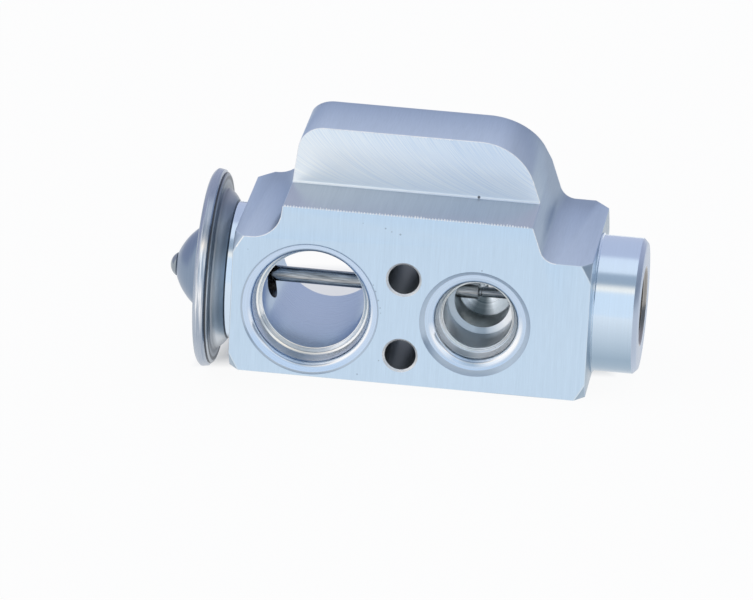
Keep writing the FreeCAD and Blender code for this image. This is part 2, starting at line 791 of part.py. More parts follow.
    # Bores on the valve axis, from the head to the packing of the rod
    seal_groove = neck_radius + seal_play + seal_section * 2 + seal_room
    neck_floor = boss_face + neck_length + neck_gap
    turned(
        body,
        "head_bore",
        [
            (boss_face - overrun, axis_depth),
            (boss_face - overrun, axis_depth + seal_groove),
            (boss_face + seal_section * 2, axis_depth + seal_groove),
            (boss_face + seal_section * 2, axis_depth + neck_bore),
            (neck_floor, axis_depth + neck_bore),
            (neck_floor, axis_depth + rod_window),
            (-suction_x, axis_depth + rod_window),
            (-suction_x, axis_depth),
        ],
        "Groove",
        axis,
    )
    turned(
        body,
        "rod_bore",
        [
            (-suction_x, axis_depth),
            (-suction_x, axis_depth + packing_radius),
            (packing_end, axis_depth + packing_radius),
            (packing_end, axis_depth + rod_radius + rod_play),
            (inlet_x, axis_depth + rod_radius + rod_play),
            (inlet_x, axis_depth),
        ],
        "Groove",
        axis,
    )

    # Orifice with the seat of the ball, ball chamber and threaded bore
    turned(
        body,
        "chamber",
        [
            (inlet_x, axis_depth),
            (inlet_x, axis_depth + orifice_radius),
            (orifice_face, axis_depth + orifice_radius),
            (chamber_start, axis_depth + orifice_radius + seat_cone_width),
            (chamber_start, axis_depth + chamber_radius),
            (chamber_end, axis_depth + chamber_radius),
            (chamber_end + bore_step, axis_depth + screw_bore),
            (boss_end - mouth_bevel, axis_depth + screw_bore),
            (boss_end, axis_depth + screw_bore + mouth_bevel),
            (boss_end + overrun, axis_depth + screw_bore + mouth_bevel),
            (boss_end + overrun, axis_depth),
        ],
        "Groove",
        axis,
    )
    pieces.append(body)


def head_covers():
    # Lower cover: rim, drum and threaded neck in one piece
    body = new_body("head_lower_cover")
    rim_back = seam_right + lower_rim_depth
    neck_end = boss_face + neck_length
    neck_hole = neck_radius - neck_wall
    turned(
        body,
        "lower_cover",
        [
            (seam_right, clamp_land),
            (seam_right, lower_rim),
            (seam_right + lower_edge, lower_rim, -RIM_BOW),
            (rim_back, lower_rim - lower_rim_round),
            (rim_back, drum_radius + drum_fillet, FILLET_BOW),
            (rim_back + drum_fillet, drum_radius, -FOOT_BOW),
            (boss_face, head_foot),
            (boss_face, neck_radius),
            (neck_end - neck_bevel, neck_radius),
            (neck_end, neck_radius - neck_bevel),
            (neck_end, neck_hole),
            (boss_face - cover_gauge, neck_hole),
            (boss_face - cover_gauge, head_foot - floor_inset),
        ],
    )
    pieces.append(on_axis(body))

    # Upper cover: rim, dish and dome with the charging hole
    body = new_body("head_upper_cover")
    crown = seam_left - crown_depth
    dish = seam_left - dish_depth
    tip = dish - dome_rise
    shoulder = dish - dome_shoulder_rise
    land = upper_rim - crown_round
    turned(
        body,
        "upper_cover",
        [
            (seam_left, clamp_land),
            (seam_left, cover_rim),
            (seam_left - upper_edge, upper_rim - upper_lip),
            (seam_left - upper_widest, upper_rim, UPPER_RIM_BOW),
            (crown, land),
            (crown, land - crown_land, DISH_BOW),
            (dish, land - crown_land - dish_round),
            (dish, dome_foot, -DOME_FOOT_BOW),
            (shoulder, dome_shoulder, DOME_BOW),
            (tip + dome_flat_edge / 2, dome_flat + dome_flat_edge),
            (tip, dome_flat),
            (tip, plug_hole),
            (tip + dome_wall, plug_hole),
            (tip + dome_wall + edge_break, dome_flat + dome_hollow, -DOME_BOW),
            (shoulder + dome_sink, dome_shoulder - dome_inset, DOME_FOOT_BOW),
            (dish + cover_gauge, dome_foot - foot_inset),
            (dish + cover_gauge, clamp_land - rim_slope),
            (seam_left - rim_room, clamp_land),
        ],
    )
    pieces.append(on_axis(body))

    # Diaphragm: thin disc with a low fold around the pressure plate
    body = new_body("diaphragm")
    left = seam_left
    right = seam_right
    inner = plate_radius - fold_width / 4
    turned(
        body,
        "diaphragm_sheet",
        [
            (left, ZERO),
            (left, plate_radius),
            (left - fold_height, plate_radius + fold_width),
            (left - fold_height, plate_radius + fold_width * 2),
            (left, plate_radius + fold_width * 3),
            (left, cover_rim),
            (right, cover_rim),
            (right, inner + fold_width * 3.5),
            (right - fold_height, inner + fold_width * 2.5),
            (right - fold_height, inner + fold_width),
            (right, inner),
            (right, ZERO),
        ],
    )
    pieces.append(on_axis(body))

    # Charging plug: rivet with a ball head over the hole in the dome
    body = new_body("charge_plug")
    cap_bow = plug_rise / (plug_cap + root(plug_cap * plug_cap + plug_rise * plug_rise))
    turned(
        body,
        "plug",
        [
            (tip - plug_rise, ZERO),
            (tip + plug_sink, ZERO),
            (tip + plug_sink, plug_hole - edge_break),
            (tip + plug_sink - edge_break, plug_hole),
            (tip, plug_hole),
            (tip, plug_cap, cap_bow),
        ],
    )
    pieces.append(on_axis(body))

    # O-ring between the head and its boss
    ring_seal(
        "head_seal",
        boss_face + seal_section,
        neck_radius + seal_play + seal_section,
        seal_section,
    )


def rod_packing():
    # O-ring around the rod, and the collar that keeps it in its pocket
    ring = packing_wall / 2
    ring_seal("rod_seal", packing_end - ring, rod_radius + rod_play + ring, ring)

    body = new_body("seal_retainer")
    left = passage_right + retainer_sink
    right = packing_end - ring * 2
    turned(
        body,
        "retainer",
        [
            (left, rod_radius + retainer_play),
            (right, rod_radius + retainer_play),
            (right, packing_radius),
            (left + edge_break, packing_radius),
            (left, packing_radius - edge_break),
        ],
    )
    pieces.append(on_axis(body))


def moving_train():
    # Pressure plate under the diaphragm, with a hub that holds the rod
    body = new_body("pressure_plate")
    under = seam_right + plate_gauge
    rod_start = seam_right + rod_socket
    hub_radius = rod_radius + hub_wall
    turned(
        body,
        "plate",
        [
            (seam_right, ZERO),
            (seam_right, plate_radius - plate_bevel),
            (seam_right + plate_bevel, plate_radius),
            (under, plate_radius),
            (under, hub_radius + plate_bevel),
            (under + plate_bevel, hub_radius),
            (under + hub_length, hub_radius),
            (under + hub_length, rod_radius),
            (rod_start, rod_radius),
            (rod_start, ZERO),
        ],
    )
    pieces.append(on_axis(body))

    # Sensing rod across the suction passage, then the pin through the orifice
    body = new_body("sensing_rod")
    turned(
        body,
        "rod",
        [
            (rod_start, ZERO),
            (rod_start, rod_radius),
            (rod_end - edge_break, rod_radius),
            (rod_end, rod_radius - edge_break),
            (rod_end, ZERO),
        ],
    )
    pieces.append(on_axis(body))

    body = new_body("actuating_pin")
    tip = ball_x - ball_radius
    neck_end = rod_end + neck_width
    turned(
        body,
        "pin",
        [
            (rod_end, ZERO),
            (rod_end, pin_radius - pin_neck),
            (neck_end, pin_radius - pin_neck),
            (neck_end, pin_radius - pin_bevel),
            (neck_end + pin_bevel, pin_radius),
            (tip - edge_break, pin_radius),
            (tip, pin_radius - edge_break),
            (tip, ZERO),
        ],
    )
    pieces.append(on_axis(body))

    # Ball, just clear of the edge of the orifice
    ball = doc.addObject("Part::Sphere", "valve_ball")
    ball.Label = "valve_ball"
    ball.Radius = ball_radius.number
    ball.setExpression("Radius", ball_radius.text)
    stand(ball, ball_x, 0)
    pieces.append(ball)

    # Carrier: cone cup for the ball, spring flange and spigot
    apex = ball_x + ball_radius / sine(cup_angle)
    mouth = apex - cup_radius / tangent(cup_angle)
    spigot_radius = coil_radius - wire_radius - spigot_play
    spigot_end = flange_end + spigot_length
    body = new_body("ball_carrier")
    turned(
        body,
        "carrier",
        [
            (apex, ZERO),
            (mouth, cup_radius),
            (mouth, carrier_radius),
            (flange_start, carrier_radius),
            (flange_start, carrier_flange),
            (flange_end, carrier_flange),
            (flange_end, spigot_radius),
            (spigot_end - edge_break, spigot_radius),
            (spigot_end, spigot_radius - edge_break),
            (spigot_end, ZERO),
        ],
    )
    pieces.append(on_axis(body))

    # Damping spring: washer whose fingers stand against the chamber wall
    body = new_body("damper_spring")
    outer = chamber_radius - damper_play
    inner = carrier_radius + damper_room
    finger_end = flange_start - finger_length
    bend_start = flange_start - damper_bend
    turned(
        body,
        "damper_cup",
        [
            (flange_start - damper_gauge, inner),
            (flange_start, inner),
            (flange_start, outer - damper_bend),
            (bend_start, outer),
            (finger_end, outer),
            (finger_end, outer - damper_gauge),
            (bend_start - damper_gauge / 3, outer - damper_gauge),
            (flange_start - damper_gauge, outer - damper_bend - damper_gauge / 2),
        ],
    )
    sketch = new_sketch(body, "finger_gap_outline", "YZ_Plane")
    outline(
        sketch,
        [
            (-finger_gap / 2, chamber_radius - gap_inset),
            (finger_gap / 2, chamber_radius - gap_inset),
            (finger_gap / 2, chamber_radius + overrun),
            (-finger_gap / 2, chamber_radius + overrun),
        ],
    )
    gap = cut_through(body, "finger_gaps", sketch)
    pattern = body.newObject("PartDesign::PolarPattern", "finger_gap_ring")
    pattern.Originals = [gap]
    pattern.Axis = (origin_plane(body, "X_Axis"), [""])
    pattern.Angle = 360
    pattern.Occurrences = FINGERS
    body.Tip = pattern
    doc.recompute()
    pieces.append(on_axis(body))


def coil_spring():
    """Spring between carrier and screw, from half turns that meet square to their
    common plane. The first and the last are flat, as on a spring with closed ends."""
    start = flange_end + wire_radius
    rise = (pocket_floor - wire_radius - start) / (COIL_HALVES - 2)
    level = ZERO
    halves = []
    for number in range(COIL_HALVES):
        flat = number in (0, COIL_HALVES - 1)
        climb = ZERO if flat else rise
        half = doc.addObject("Part::Torus", "half_turn_%d" % (number + 1))
        half.Angle3 = 180
        half.setExpression("Radius1", root(coil_radius * coil_radius + climb * climb / 4).text)
        half.setExpression("Radius2", wire_radius.text)
        lean = "rotationy(atan(%s))" % (climb / 2 / coil_radius).text
        place = "create(<<vector>>; 0; 0; %s)" % (level + climb / 2).text
        turn = "rotationz(%d)" % (180 * (number % 2))
        half.setExpression("Placement", "create(<<placement>>; %s; %s * %s)" % (place, turn, lean))
        level = level + climb
        halves.append(half)
    spring = doc.addObject("Part::MultiFuse", "superheat_spring")
    spring.Label = "superheat_spring"
    spring.Shapes = halves
    stand(spring, start, 90)
    doc.recompute()
    pieces.append(spring)


def adjuster():
    # Screw with a pocket for the spring, a seal groove and a hexagon socket
    body = new_body("adjusting_screw")
    thread = screw_bore - screw_play
    nose = chamber_radius - nose_play
    groove = screw_nose + groove_start
    turned(
        body,
        "screw",
        [
            (screw_nose, spring_pocket),
            (pocket_floor, spring_pocket),
            (pocket_floor, ZERO),
            (screw_face, ZERO),
            (screw_face, thread - head_bevel),
            (screw_face - head_bevel, thread),
            (screw_shoulder, thread),
            (screw_shoulder - shoulder_bevel, nose),
            (groove + groove_width, nose),
            (groove + groove_width, screw_groove),
            (groove, screw_groove),
            (groove, nose),
            (screw_nose + nose_bevel, nose),
            (screw_nose, nose - nose_bevel),
        ],
    )
    sketch = new_sketch(body, "hexagon_outline", "YZ_Plane")
    sketch.AttachmentOffset = FreeCAD.Placement(
        FreeCAD.Vector(0, 0, screw_face.number), FreeCAD.Rotation()
    )
    sketch.setExpression("AttachmentOffset.Base.z", screw_face.text)
    corner = socket_flats * (0.5 / math.cos(math.radians(30)))
    points = []
    for number in range(6):
        angle = math.radians(60 * number)
        points.append((corner * math.cos(angle), corner * math.sin(angle)))
    outline(sketch, points)
    cut_through(body, "hexagon_socket", sketch, length=socket_depth)
    pieces.append(on_axis(body))

    # O-ring in the groove of the screw, with play to the groove and to the chamber
    ring_seal(
        "adjuster_seal",
        groove + groove_width / 2,
        screw_groove + groove_depth / 2,
        groove_depth / 2 - ring_play,
    )


valve_body()
head_covers()
rod_packing()
moving_train()
coil_spring()
adjuster()
doc.recompute()

for item in doc.Objects:
    if "Invalid" in item.State or "Error" in item.State:
        raise RuntimeError("%s: %s" % (item.Label, item.State))

for piece in pieces:
    shape = piece.Shape
    if shape.isNull() or not shape.isValid() or not shape.Solids:
        raise RuntimeError("bad shape: " + piece.Label)
    box = shape.BoundBox
    print(
        "%-18s solids %d volume %9.1f  x %7.2f %7.2f  y %6.2f %6.2f  z %6.2f %6.2f"
        % (
            piece.Label,
            len(shape.Solids),
            shape.Volume,
            box.XMin,
            box.XMax,
            box.YMin,
            box.YMax,
            box.ZMin,
            box.ZMax,
        )
    )
    shape.exportStep("parts/%s.step" % piece.Label)
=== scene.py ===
import math

import bmesh
import bpy
from mathutils import Matrix, Vector, noise


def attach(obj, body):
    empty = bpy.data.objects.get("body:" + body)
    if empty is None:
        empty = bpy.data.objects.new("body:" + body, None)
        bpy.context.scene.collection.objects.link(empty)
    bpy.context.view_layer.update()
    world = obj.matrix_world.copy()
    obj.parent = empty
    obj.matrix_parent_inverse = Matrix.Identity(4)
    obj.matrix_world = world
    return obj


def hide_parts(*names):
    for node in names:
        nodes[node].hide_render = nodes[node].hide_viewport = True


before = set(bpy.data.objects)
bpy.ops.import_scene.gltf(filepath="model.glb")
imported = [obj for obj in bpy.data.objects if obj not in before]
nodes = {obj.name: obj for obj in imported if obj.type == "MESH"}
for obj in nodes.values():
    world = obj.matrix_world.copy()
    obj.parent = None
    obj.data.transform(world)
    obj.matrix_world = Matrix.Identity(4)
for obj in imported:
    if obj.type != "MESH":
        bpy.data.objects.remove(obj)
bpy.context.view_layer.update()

# Row frame in metres. Shapes are worked out in millimetres and scaled at the end.
MM = 0.001
SHARP_ANGLE = 28.0
ARC_PARTS = 12
AXIS_Y = 18.7
BLOCK_LEFT = -35.0
BLOCK_RIGHT = 37.8
BLOCK_HALF = 14.6
BLOCK_DEPTH = 38.6
EAR_TOP = 34.0
LEDGE_Z = 21.8
LEDGE_Y = 14.1
BOSS_END = 47.2
BOSS_RADIUS = 13.9
BOLT_Z = 8.2
CLAMP_Z = 17.2
HEAD_RIM_X = -41.7
HEAD_RIM_RADIUS = 20.35
SUCTION_X = -18.85
INLET_X = 14.85
LIQUID_X = 26.2


def new_object(name, data):
    piece = bpy.data.objects.new(name, data)
    bpy.context.scene.collection.objects.link(piece)
    return piece


def from_lists(name, vertices, faces):
    mesh = bpy.data.meshes.new(name)
    mesh.from_pydata([tuple(v) for v in vertices], [], faces)
    mesh.validate()
    return new_object(name, mesh)


def flip_outward(mesh):
    shape = bmesh.new()
    shape.from_mesh(mesh)
    bmesh.ops.recalc_face_normals(shape, faces=shape.faces)
    shape.to_mesh(mesh)
    shape.free()


def rounded_outline(corners, step=6.0):
    """Corner list (a, b, radius) to points, with an arc in each corner that has a radius."""
    points = []
    count = len(corners)
    for number, (a, b, radius) in enumerate(corners):
        here = Vector((a, b))
        if radius == 0:
            points.append(here)
            continue
        before = Vector(corners[number - 1][:2]) - here
        after = Vector(corners[(number + 1) % count][:2]) - here
        before.normalize()
        after.normalize()
        half = before.angle(after) / 2
        reach = radius / math.tan(half)
        centre = here + (before + after).normalized() * (radius / math.sin(half))
        start = here + before * reach - centre
        end = here + after * reach - centre
        turn = start.angle_signed(end)
        pieces = max(2, int(abs(math.degrees(turn)) / step))
        for part in range(pieces + 1):
            turned = start.copy()
            turned.rotate(Matrix.Rotation(-turn * part / pieces, 2))
            points.append(centre + turned)
    return points


def prism(name, outline, low, high, axis="Y"):
    """Closed prism. The outline is (x, z) for axis Y and (y, z) for axis X."""
    count = len(outline)
    vertices = []
    for end in (low, high):
        for a, b in outline:
            vertices.append((a, end, b) if axis == "Y" else (end, a, b))
    faces = [tuple(range(count)), tuple(range(2 * count - 1, count - 1, -1))]
    for number in range(count):
        after = (number + 1) % count
        faces.append((number, number + count, after + count, after))
    piece = from_lists(name, vertices, faces)
    flip_outward(piece.data)
    return piece


def curved(corners):
    """Corner list (along, radius, bow) to points. A bow is the tangent of a quarter of the
    angle of the arc that starts at that corner, positive for counter-clockwise."""
    points = []
    for number, corner in enumerate(corners):
        here = Vector(corner[:2])
        points.append(tuple(here))
        if len(corner) < 3:
            continue
        after = Vector(corners[(number + 1) % len(corners)][:2])
        chord = after - here
        turn = 4 * math.atan(corner[2])
        reach = chord.length / 2 / math.tan(turn / 2)
        centre = (here + after) / 2 + Vector((-chord.y, chord.x)).normalized() * reach
        for part in range(1, ARC_PARTS):
            spoke = here - centre
            spoke.rotate(Matrix.Rotation(turn * part / ARC_PARTS, 2))
            points.append(tuple(centre + spoke))
    return points


def lathe(name, profile, axis, centre, steps):
    """Turned shape from (along, radius) points. Axis X turns about the valve axis,
    axis Y about a port axis at that x and z 0."""
    vertices = []
    rows = []
    for along, radius in profile:
        row = []
        turns = 1 if radius == 0 else steps
        for step in range(turns):
            angle = 2 * math.pi * step / steps
            side = radius * math.cos(angle)
            up = radius * math.sin(angle)
            row.append(len(vertices))
            if axis == "X":
                vertices.append((along, centre + side, up))
            else:
                vertices.append((centre + side, along, up))
        rows.append(row)
    faces = []
    count = len(rows)
    for number in range(count):
        this = rows[number]
        after = rows[(number + 1) % count]
        if len(this) == 1 and len(after) == 1:
            continue
        for step in range(steps):
            following = (step + 1) % steps
            if len(this) == 1:
                faces.append((this[0], after[step], after[following]))
            elif len(after) == 1:
                faces.append((this[step], after[0], this[following]))
            else:
                faces.append((this[step], after[step], after[following], this[following]))
    piece = from_lists(name, vertices, faces)
    flip_outward(piece.data)
    return piece


def combine(piece, other, operation):
    """Boolean with another shape, which is used up."""
    modifier = piece.modifiers.new("combine", "BOOLEAN")
    modifier.operation = operation
    modifier.solver = "EXACT"
    modifier.material_mode = "TRANSFER"
    modifier.object = other
    bake(piece)
    bpy.data.objects.remove(other)


def bake(piece):
    """Applies all modifiers."""
    bpy.context.view_layer.update()
    depsgraph = bpy.context.evaluated_depsgraph_get()
    mesh = bpy.data.meshes.new_from_object(piece.evaluated_get(depsgraph))
    piece.modifiers.clear()
    old = piece.data
    piece.data = mesh
    bpy.data.meshes.remove(old)


def finish_mesh(piece):
    """Millimetres to metres, smooth faces, sharp edges by angle."""
    mesh = piece.data
    mesh.transform(Matrix.Scale(MM, 4))
    shape = bmesh.new()
    shape.from_mesh(mesh)
    limit = math.radians(SHARP_ANGLE)
    for face in shape.faces:
        face.smooth = True
    for edge in shape.edges:
        edge.smooth = len(edge.link_faces) == 2 and edge.calc_face_angle(0) < limit
    shape.to_mesh(mesh)
    shape.free()


# Materials
class Graph:
    """Node tree of one material, with coordinates in millimetres."""

    def __init__(self, name):
        self.material = bpy.data.materials.new(name)
        self.material.use_nodes = True
        self.tree = self.material.node_tree
        self.shader = self.tree.nodes["Principled BSDF"]
        where = self.add("ShaderNodeTexCoord").outputs["Object"]
        self.place = self.vector("SCALE", where, 1000.0)
        parts = self.add("ShaderNodeSeparateXYZ")
        self.tree.links.new(self.place, parts.inputs[0])
        self.x, self.y, self.z = parts.outputs

    def add(self, kind):
        return self.tree.nodes.new(kind)

    def put(self, value, socket):
        if isinstance(value, bpy.types.NodeSocket):
            self.tree.links.new(value, socket)
        else:
            socket.default_value = value

    def math(self, operation, a, b=0.0):
        node = self.add("ShaderNodeMath")
        node.operation = operation
        for value, socket in zip((a, b), node.inputs):
            self.put(value, socket)
        return node.outputs[0]

    def times(self, a, b):
        return self.math("MULTIPLY", a, b)

    def plus(self, a, b):
        return self.math("ADD", a, b)

    def minus(self, a, b):
        return self.math("SUBTRACT", a, b)

    def apart(self, a, b):
        return self.math("ABSOLUTE", self.minus(a, b))

    def vector(self, operation, a, b):
        node = self.add("ShaderNodeVectorMath")
        node.operation = operation
        self.put(a, node.inputs[0])
        self.put(b, node.inputs["Scale"] if operation == "SCALE" else node.inputs[1])
        return node.outputs[0]

    def join(self, x, y, z):
        node = self.add("ShaderNodeCombineXYZ")
        for value, socket in zip((x, y, z), node.inputs):
            self.put(value, socket)
        return node.outputs[0]

    def noise(self, vector, detail=2.0, roughness=0.5):
        node = self.add("ShaderNodeTexNoise")
        self.put(vector, node.inputs["Vector"])
        node.inputs["Scale"].default_value = 1.0
        node.inputs["Detail"].default_value = detail
        node.inputs["Roughness"].default_value = roughness
        return node.outputs[0]

    def spread(self, value, low, high, to_low=0.0, to_high=1.0):
        node = self.add("ShaderNodeMapRange")
        for entry, socket in zip((value, low, high, to_low, to_high), node.inputs):
            self.put(entry, socket)
        return node.outputs[0]

    def radius(self, a, b):
        return self.math("SQRT", self.plus(self.times(a, a), self.times(b, b)))

    def tint(self, fac, dark, light):
        """Mix of two colours, each a plain colour or a socket."""
        node = self.add("ShaderNodeMix")
        node.data_type = "RGBA"
        self.put(fac, node.inputs[0])
        for colour, socket in ((dark, node.inputs[6]), (light, node.inputs[7])):
            self.put(colour if isinstance(colour, bpy.types.NodeSocket) else (*colour, 1.0), socket)
        return node.outputs[2]

    def grooves(self, along, share):
        """Roughness across the grooves, which run along the given direction."""
        self.shader.inputs["Anisotropic"].default_value = share
        self.shader.inputs["Anisotropic Rotation"].default_value = 0.25
        self.tree.links.new(self.vector("NORMALIZE", along, (0, 0, 0)), self.shader.inputs["Tangent"])

    def finish(self, fac, dark, light, rough_low, rough_high, bump=0.1, depth=0.02, spots=()):
        """Metal between two colours, with spots (share, colour) laid over them."""
        self.shader.inputs["Metallic"].default_value = 1.0
        colour = self.tint(fac, dark, light)
        for share, over in spots:
            colour = self.tint(share, colour, over)
        self.put(colour, self.shader.inputs["Base Color"])
        self.put(self.spread(fac, 0.0, 1.0, rough_high, rough_low), self.shader.inputs["Roughness"])
        node = self.add("ShaderNodeBump")
        node.inputs["Strength"].default_value = bump
        node.inputs["Distance"].default_value = depth * MM
        self.put(fac, node.inputs["Height"])
        self.put(node.outputs[0], self.shader.inputs["Normal"])
        return self.material


def scaled(colour, factor):
    return tuple(min(1.0, part * factor) for part in colour)


WHITE = (1.0, 1.0, 1.0)
ALUMINIUM = (0.60, 0.745, 0.90)
SKIN = (0.68, 0.78, 0.87)
BRIGHT_ALUMINIUM = (0.68, 0.80, 0.93)
PORT_ALUMINIUM = (0.66, 0.73, 0.82)
GROUND_STEEL = (0.36, 0.39, 0.43)


def lines_of(graph, scales):
    """Long fine lines: noise stretched by the three scales, with a slower variation."""
    coarse = 0.35
    fine = graph.noise(graph.vector("MULTIPLY", graph.place, scales), 3.0, 0.6)
    slow = graph.noise(graph.vector("MULTIPLY", graph.place, [s * 0.22 for s in scales]), 2.0)
    mixed = graph.plus(graph.times(fine, 1 - coarse), graph.times(slow, coarse))
    return graph.spread(mixed, 0.3, 0.7)


def rings_of(graph, radius, along, density=9.0):
    """Lines around an axis from a turning tool."""
    fine = graph.noise(graph.join(graph.times(radius, density), graph.times(along, density), 0.0), 3.0, 0.6)
    return graph.spread(fine, 0.3, 0.7)


SPECKS = (
    (-4.2, 18.9, 0.16), (-2.9, 18.3, 0.12), (-1.15, 17.9, 0.2), (-8.8, 19.6, 0.1),
    (-4.25, -9.7, 0.13), (-8.5, -13.1, 0.16), (15.7, 11.7, 0.16), (-31.9, 11.8, 0.1),
    (-6.1, 6.5, 0.13), (-5.6, 5.2, 0.15), (-4.95, 3.3, 0.16), (-4.5, 1.7, 0.13),
    (-4.35, 0.6, 0.1),
)


def brushed_face():
    graph = Graph("aluminium_brushed")
    lines = lines_of(graph, (7.0, 1.0, 0.22))
    blur = graph.times(graph.noise(graph.vector("SCALE", graph.place, 6.0)), 0.16)
    specks = 0.0
    for x, z, size in SPECKS:
        away = graph.radius(graph.minus(graph.x, x), graph.minus(graph.z, z))
        speck = graph.spread(graph.plus(away, blur), size * 0.6 + 0.08, size * 1.4 + 0.08, 0.5, 0.0)
        specks = graph.plus(specks, speck)
    dark = scaled(ALUMINIUM, 0.94)
    light = scaled(ALUMINIUM, 1.04)
    return graph.finish(lines, dark, light, 0.34, 0.42, spots=((specks, (0.16, 0.2, 0.26)),))


def extruded_skin():
    graph = Graph("aluminium_extruded")
    graph.shader.inputs["Specular Tint"].default_value = (0.50, 0.56, 0.67, 1.0)
    # painted shade: the ear's right flank is made darker by its position along x
    painted_flank_shade = graph.spread(graph.apart(graph.x, 23.5), 7.5, 4.0, 0.0, 0.36)
    dark = scaled(SKIN, 0.96)
    light = scaled(SKIN, 1.04)
    spots = ((painted_flank_shade, scaled(SKIN, 0.5)),)
    return graph.finish(lines_of(graph, (3.0, 0.2, 3.0)), dark, light, 0.30, 0.38, spots=spots)


def milled_ledge():
    """Feed marks of the cutter across the ledge."""
    graph = Graph("aluminium_ledge")
    graph.shader.inputs["Specular Tint"].default_value = (0.72, 0.77, 0.84, 1.0)
    lines = lines_of(graph, (3.4, 0.12, 1.0))
    return graph.finish(lines, (0.55, 0.60, 0.66), (0.60, 0.65, 0.71), 0.32, 0.40)


def milled_ear():
    """Arcs of a large cutter, with painted light to the left and near the ledge (a painted reflection of
    the ledge), and a dark pit.
    """
    graph = Graph("aluminium_milled")
    arc_radius, arc_height = 28.0, 49.8
    drop = graph.minus(arc_height, graph.z)
    inside = graph.math("MAXIMUM", graph.minus(arc_radius**2, graph.times(drop, drop)), 0.0)
    across = graph.plus(graph.x, graph.math("SQRT", inside))
    fine = graph.noise(graph.join(graph.times(across, 3.0), graph.times(graph.z, 0.1), 0.0), 3.0, 0.65)
    fac = graph.spread(fine, 0.25, 0.6)
    # painted light: lighter near the ledge and towards the left, by position
    low = graph.spread(graph.z, 31.0, 22.5)
    left = graph.spread(graph.x, 12.0, -22.0)
    lit = graph.plus(graph.times(low, 0.16), graph.times(left, 0.34))
    lit = graph.plus(graph.times(fac, 0.4), graph.plus(lit, 0.06))
    away = graph.radius(graph.minus(graph.x, 12.9), graph.minus(graph.z, 22.15))
    spots = ((graph.spread(away, 0.2, 0.34, 0.9, 0.0), (0.05, 0.06, 0.08)),)
    return graph.finish(lit, (0.56, 0.70, 0.90), (0.97, 1.0, 1.0), 0.34, 0.56, 0.14, spots=spots)


def turned_about_valve_axis(
    name, colour, low, high, rough_low, rough_high, density=9.0, painted_shade_share=0.0, left=1.0
):
    """Rings around the valve axis. The shade share is how much painted shade darkens the underside, and
    left is its share at the head's end. The upper side of the block's right cone gets a patch of painted
    shade too."""
    graph = Graph(name)
    depth = graph.minus(graph.y, AXIS_Y)
    fac = rings_of(graph, graph.radius(depth, graph.z), graph.x, density)
    spots = []
    if painted_shade_share:
        painted_shade = (colour[0] * 0.36, colour[1] * 0.44, colour[2] * 0.50)
        # painted shade: the underside is darker, by height
        painted_underside_shade = graph.spread(graph.z, 2.6, -7.5, 0.0, painted_shade_share)
        spots.append((graph.times(painted_underside_shade, graph.spread(graph.x, 0.0, 20.0, left, 1.0)), painted_shade))
        # painted shade patch on the upper side of the block's right cone
        outer = graph.times(graph.spread(graph.x, 32.5, 33.5), graph.spread(graph.x, 37.9, 37.8))
        outer = graph.times(outer, graph.spread(graph.y, 7.0, 11.0))
        spots.append((graph.times(outer, graph.spread(graph.z, 6.0, 10.0, 0.0, 0.75)), painted_shade))
    graph.grooves(graph.join(0.0, graph.times(graph.z, -1.0), depth), 0.5)
    return graph.finish(fac, scaled(colour, low), scaled(colour, high), rough_low, rough_high, spots=spots)


def sides_of(graph, side, spots):
    """Shares around a port: (direction in degrees clockwise from the right, width, share)."""
    total = 0.0
    radius = graph.radius(side, graph.z)
    for degrees, width, share in spots:
        turn = math.radians(degrees)
        toward = graph.minus(graph.times(side, math.cos(turn)), graph.times(graph.z, math.sin(turn)))
        level = graph.math("DIVIDE", toward, radius)
        rim = math.cos(math.radians(width))
        core = math.cos(math.radians(width * 0.3))
        total = graph.plus(total, graph.spread(level, rim, core, 0.0, share))
    return total


def turned_port(
    name, centre, colour, rough=0.17, lit=(), painted_shade=(), within=(99.0, 98.0), edge=WHITE, metal=1.0
):
    """Turned rings, with a painted highlight on the lit sides and painted shade on the other given sides,
    inside a radius. The edge colour is for slanting views."""
    graph = Graph(name)
    graph.shader.inputs["Specular Tint"].default_value = (*edge, 1.0)
    side = graph.minus(graph.x, centre)
    radius = graph.radius(side, graph.z)
    spots = []
    # painted shade and painted highlight on given sides of the port
    for sides, over in ((painted_shade, (0.2, 0.26, 0.32)), (lit, (0.97, 0.98, 1.0))):
        if sides:
            share = graph.times(sides_of(graph, side, sides), graph.spread(radius, *within))
            spots.append((share, over))
    graph.grooves(graph.join(graph.times(graph.z, -1.0), 0.0, side), 0.6)
    rings = rings_of(graph, radius, graph.y)
    dark = scaled(colour, 0.95)
    light = scaled(colour, 1.05)
    material = graph.finish(rings, dark, light, rough, rough + 0.08, spots=spots)
    graph.shader.inputs["Metallic"].default_value = metal
    return material


def drilled_floor(name, centre):
    """Cone at the end of a bore, with rings, a painted highlight on one side and painted shade on another.
    """
    graph = Graph(name)
    side = graph.minus(graph.x, centre)
    away = graph.times(graph.radius(side, graph.z), 3.0)
    rings = graph.spread(graph.noise(graph.join(away, 0.0, 0.0), 2.0), 0.35, 0.65)
    # painted highlight on one side and painted shade on another, by angle around the bore
    lit = sides_of(graph, side, ((30, 66, 1.0),))
    painted_shade = sides_of(graph, side, ((104, 36, 0.9),))
    spots = ((lit, WHITE), (painted_shade, (0.04, 0.06, 0.07)))
    return graph.finish(rings, (0.30, 0.36, 0.42), (0.85, 0.90, 0.94), 0.2, 0.3, 0.1, spots=spots)


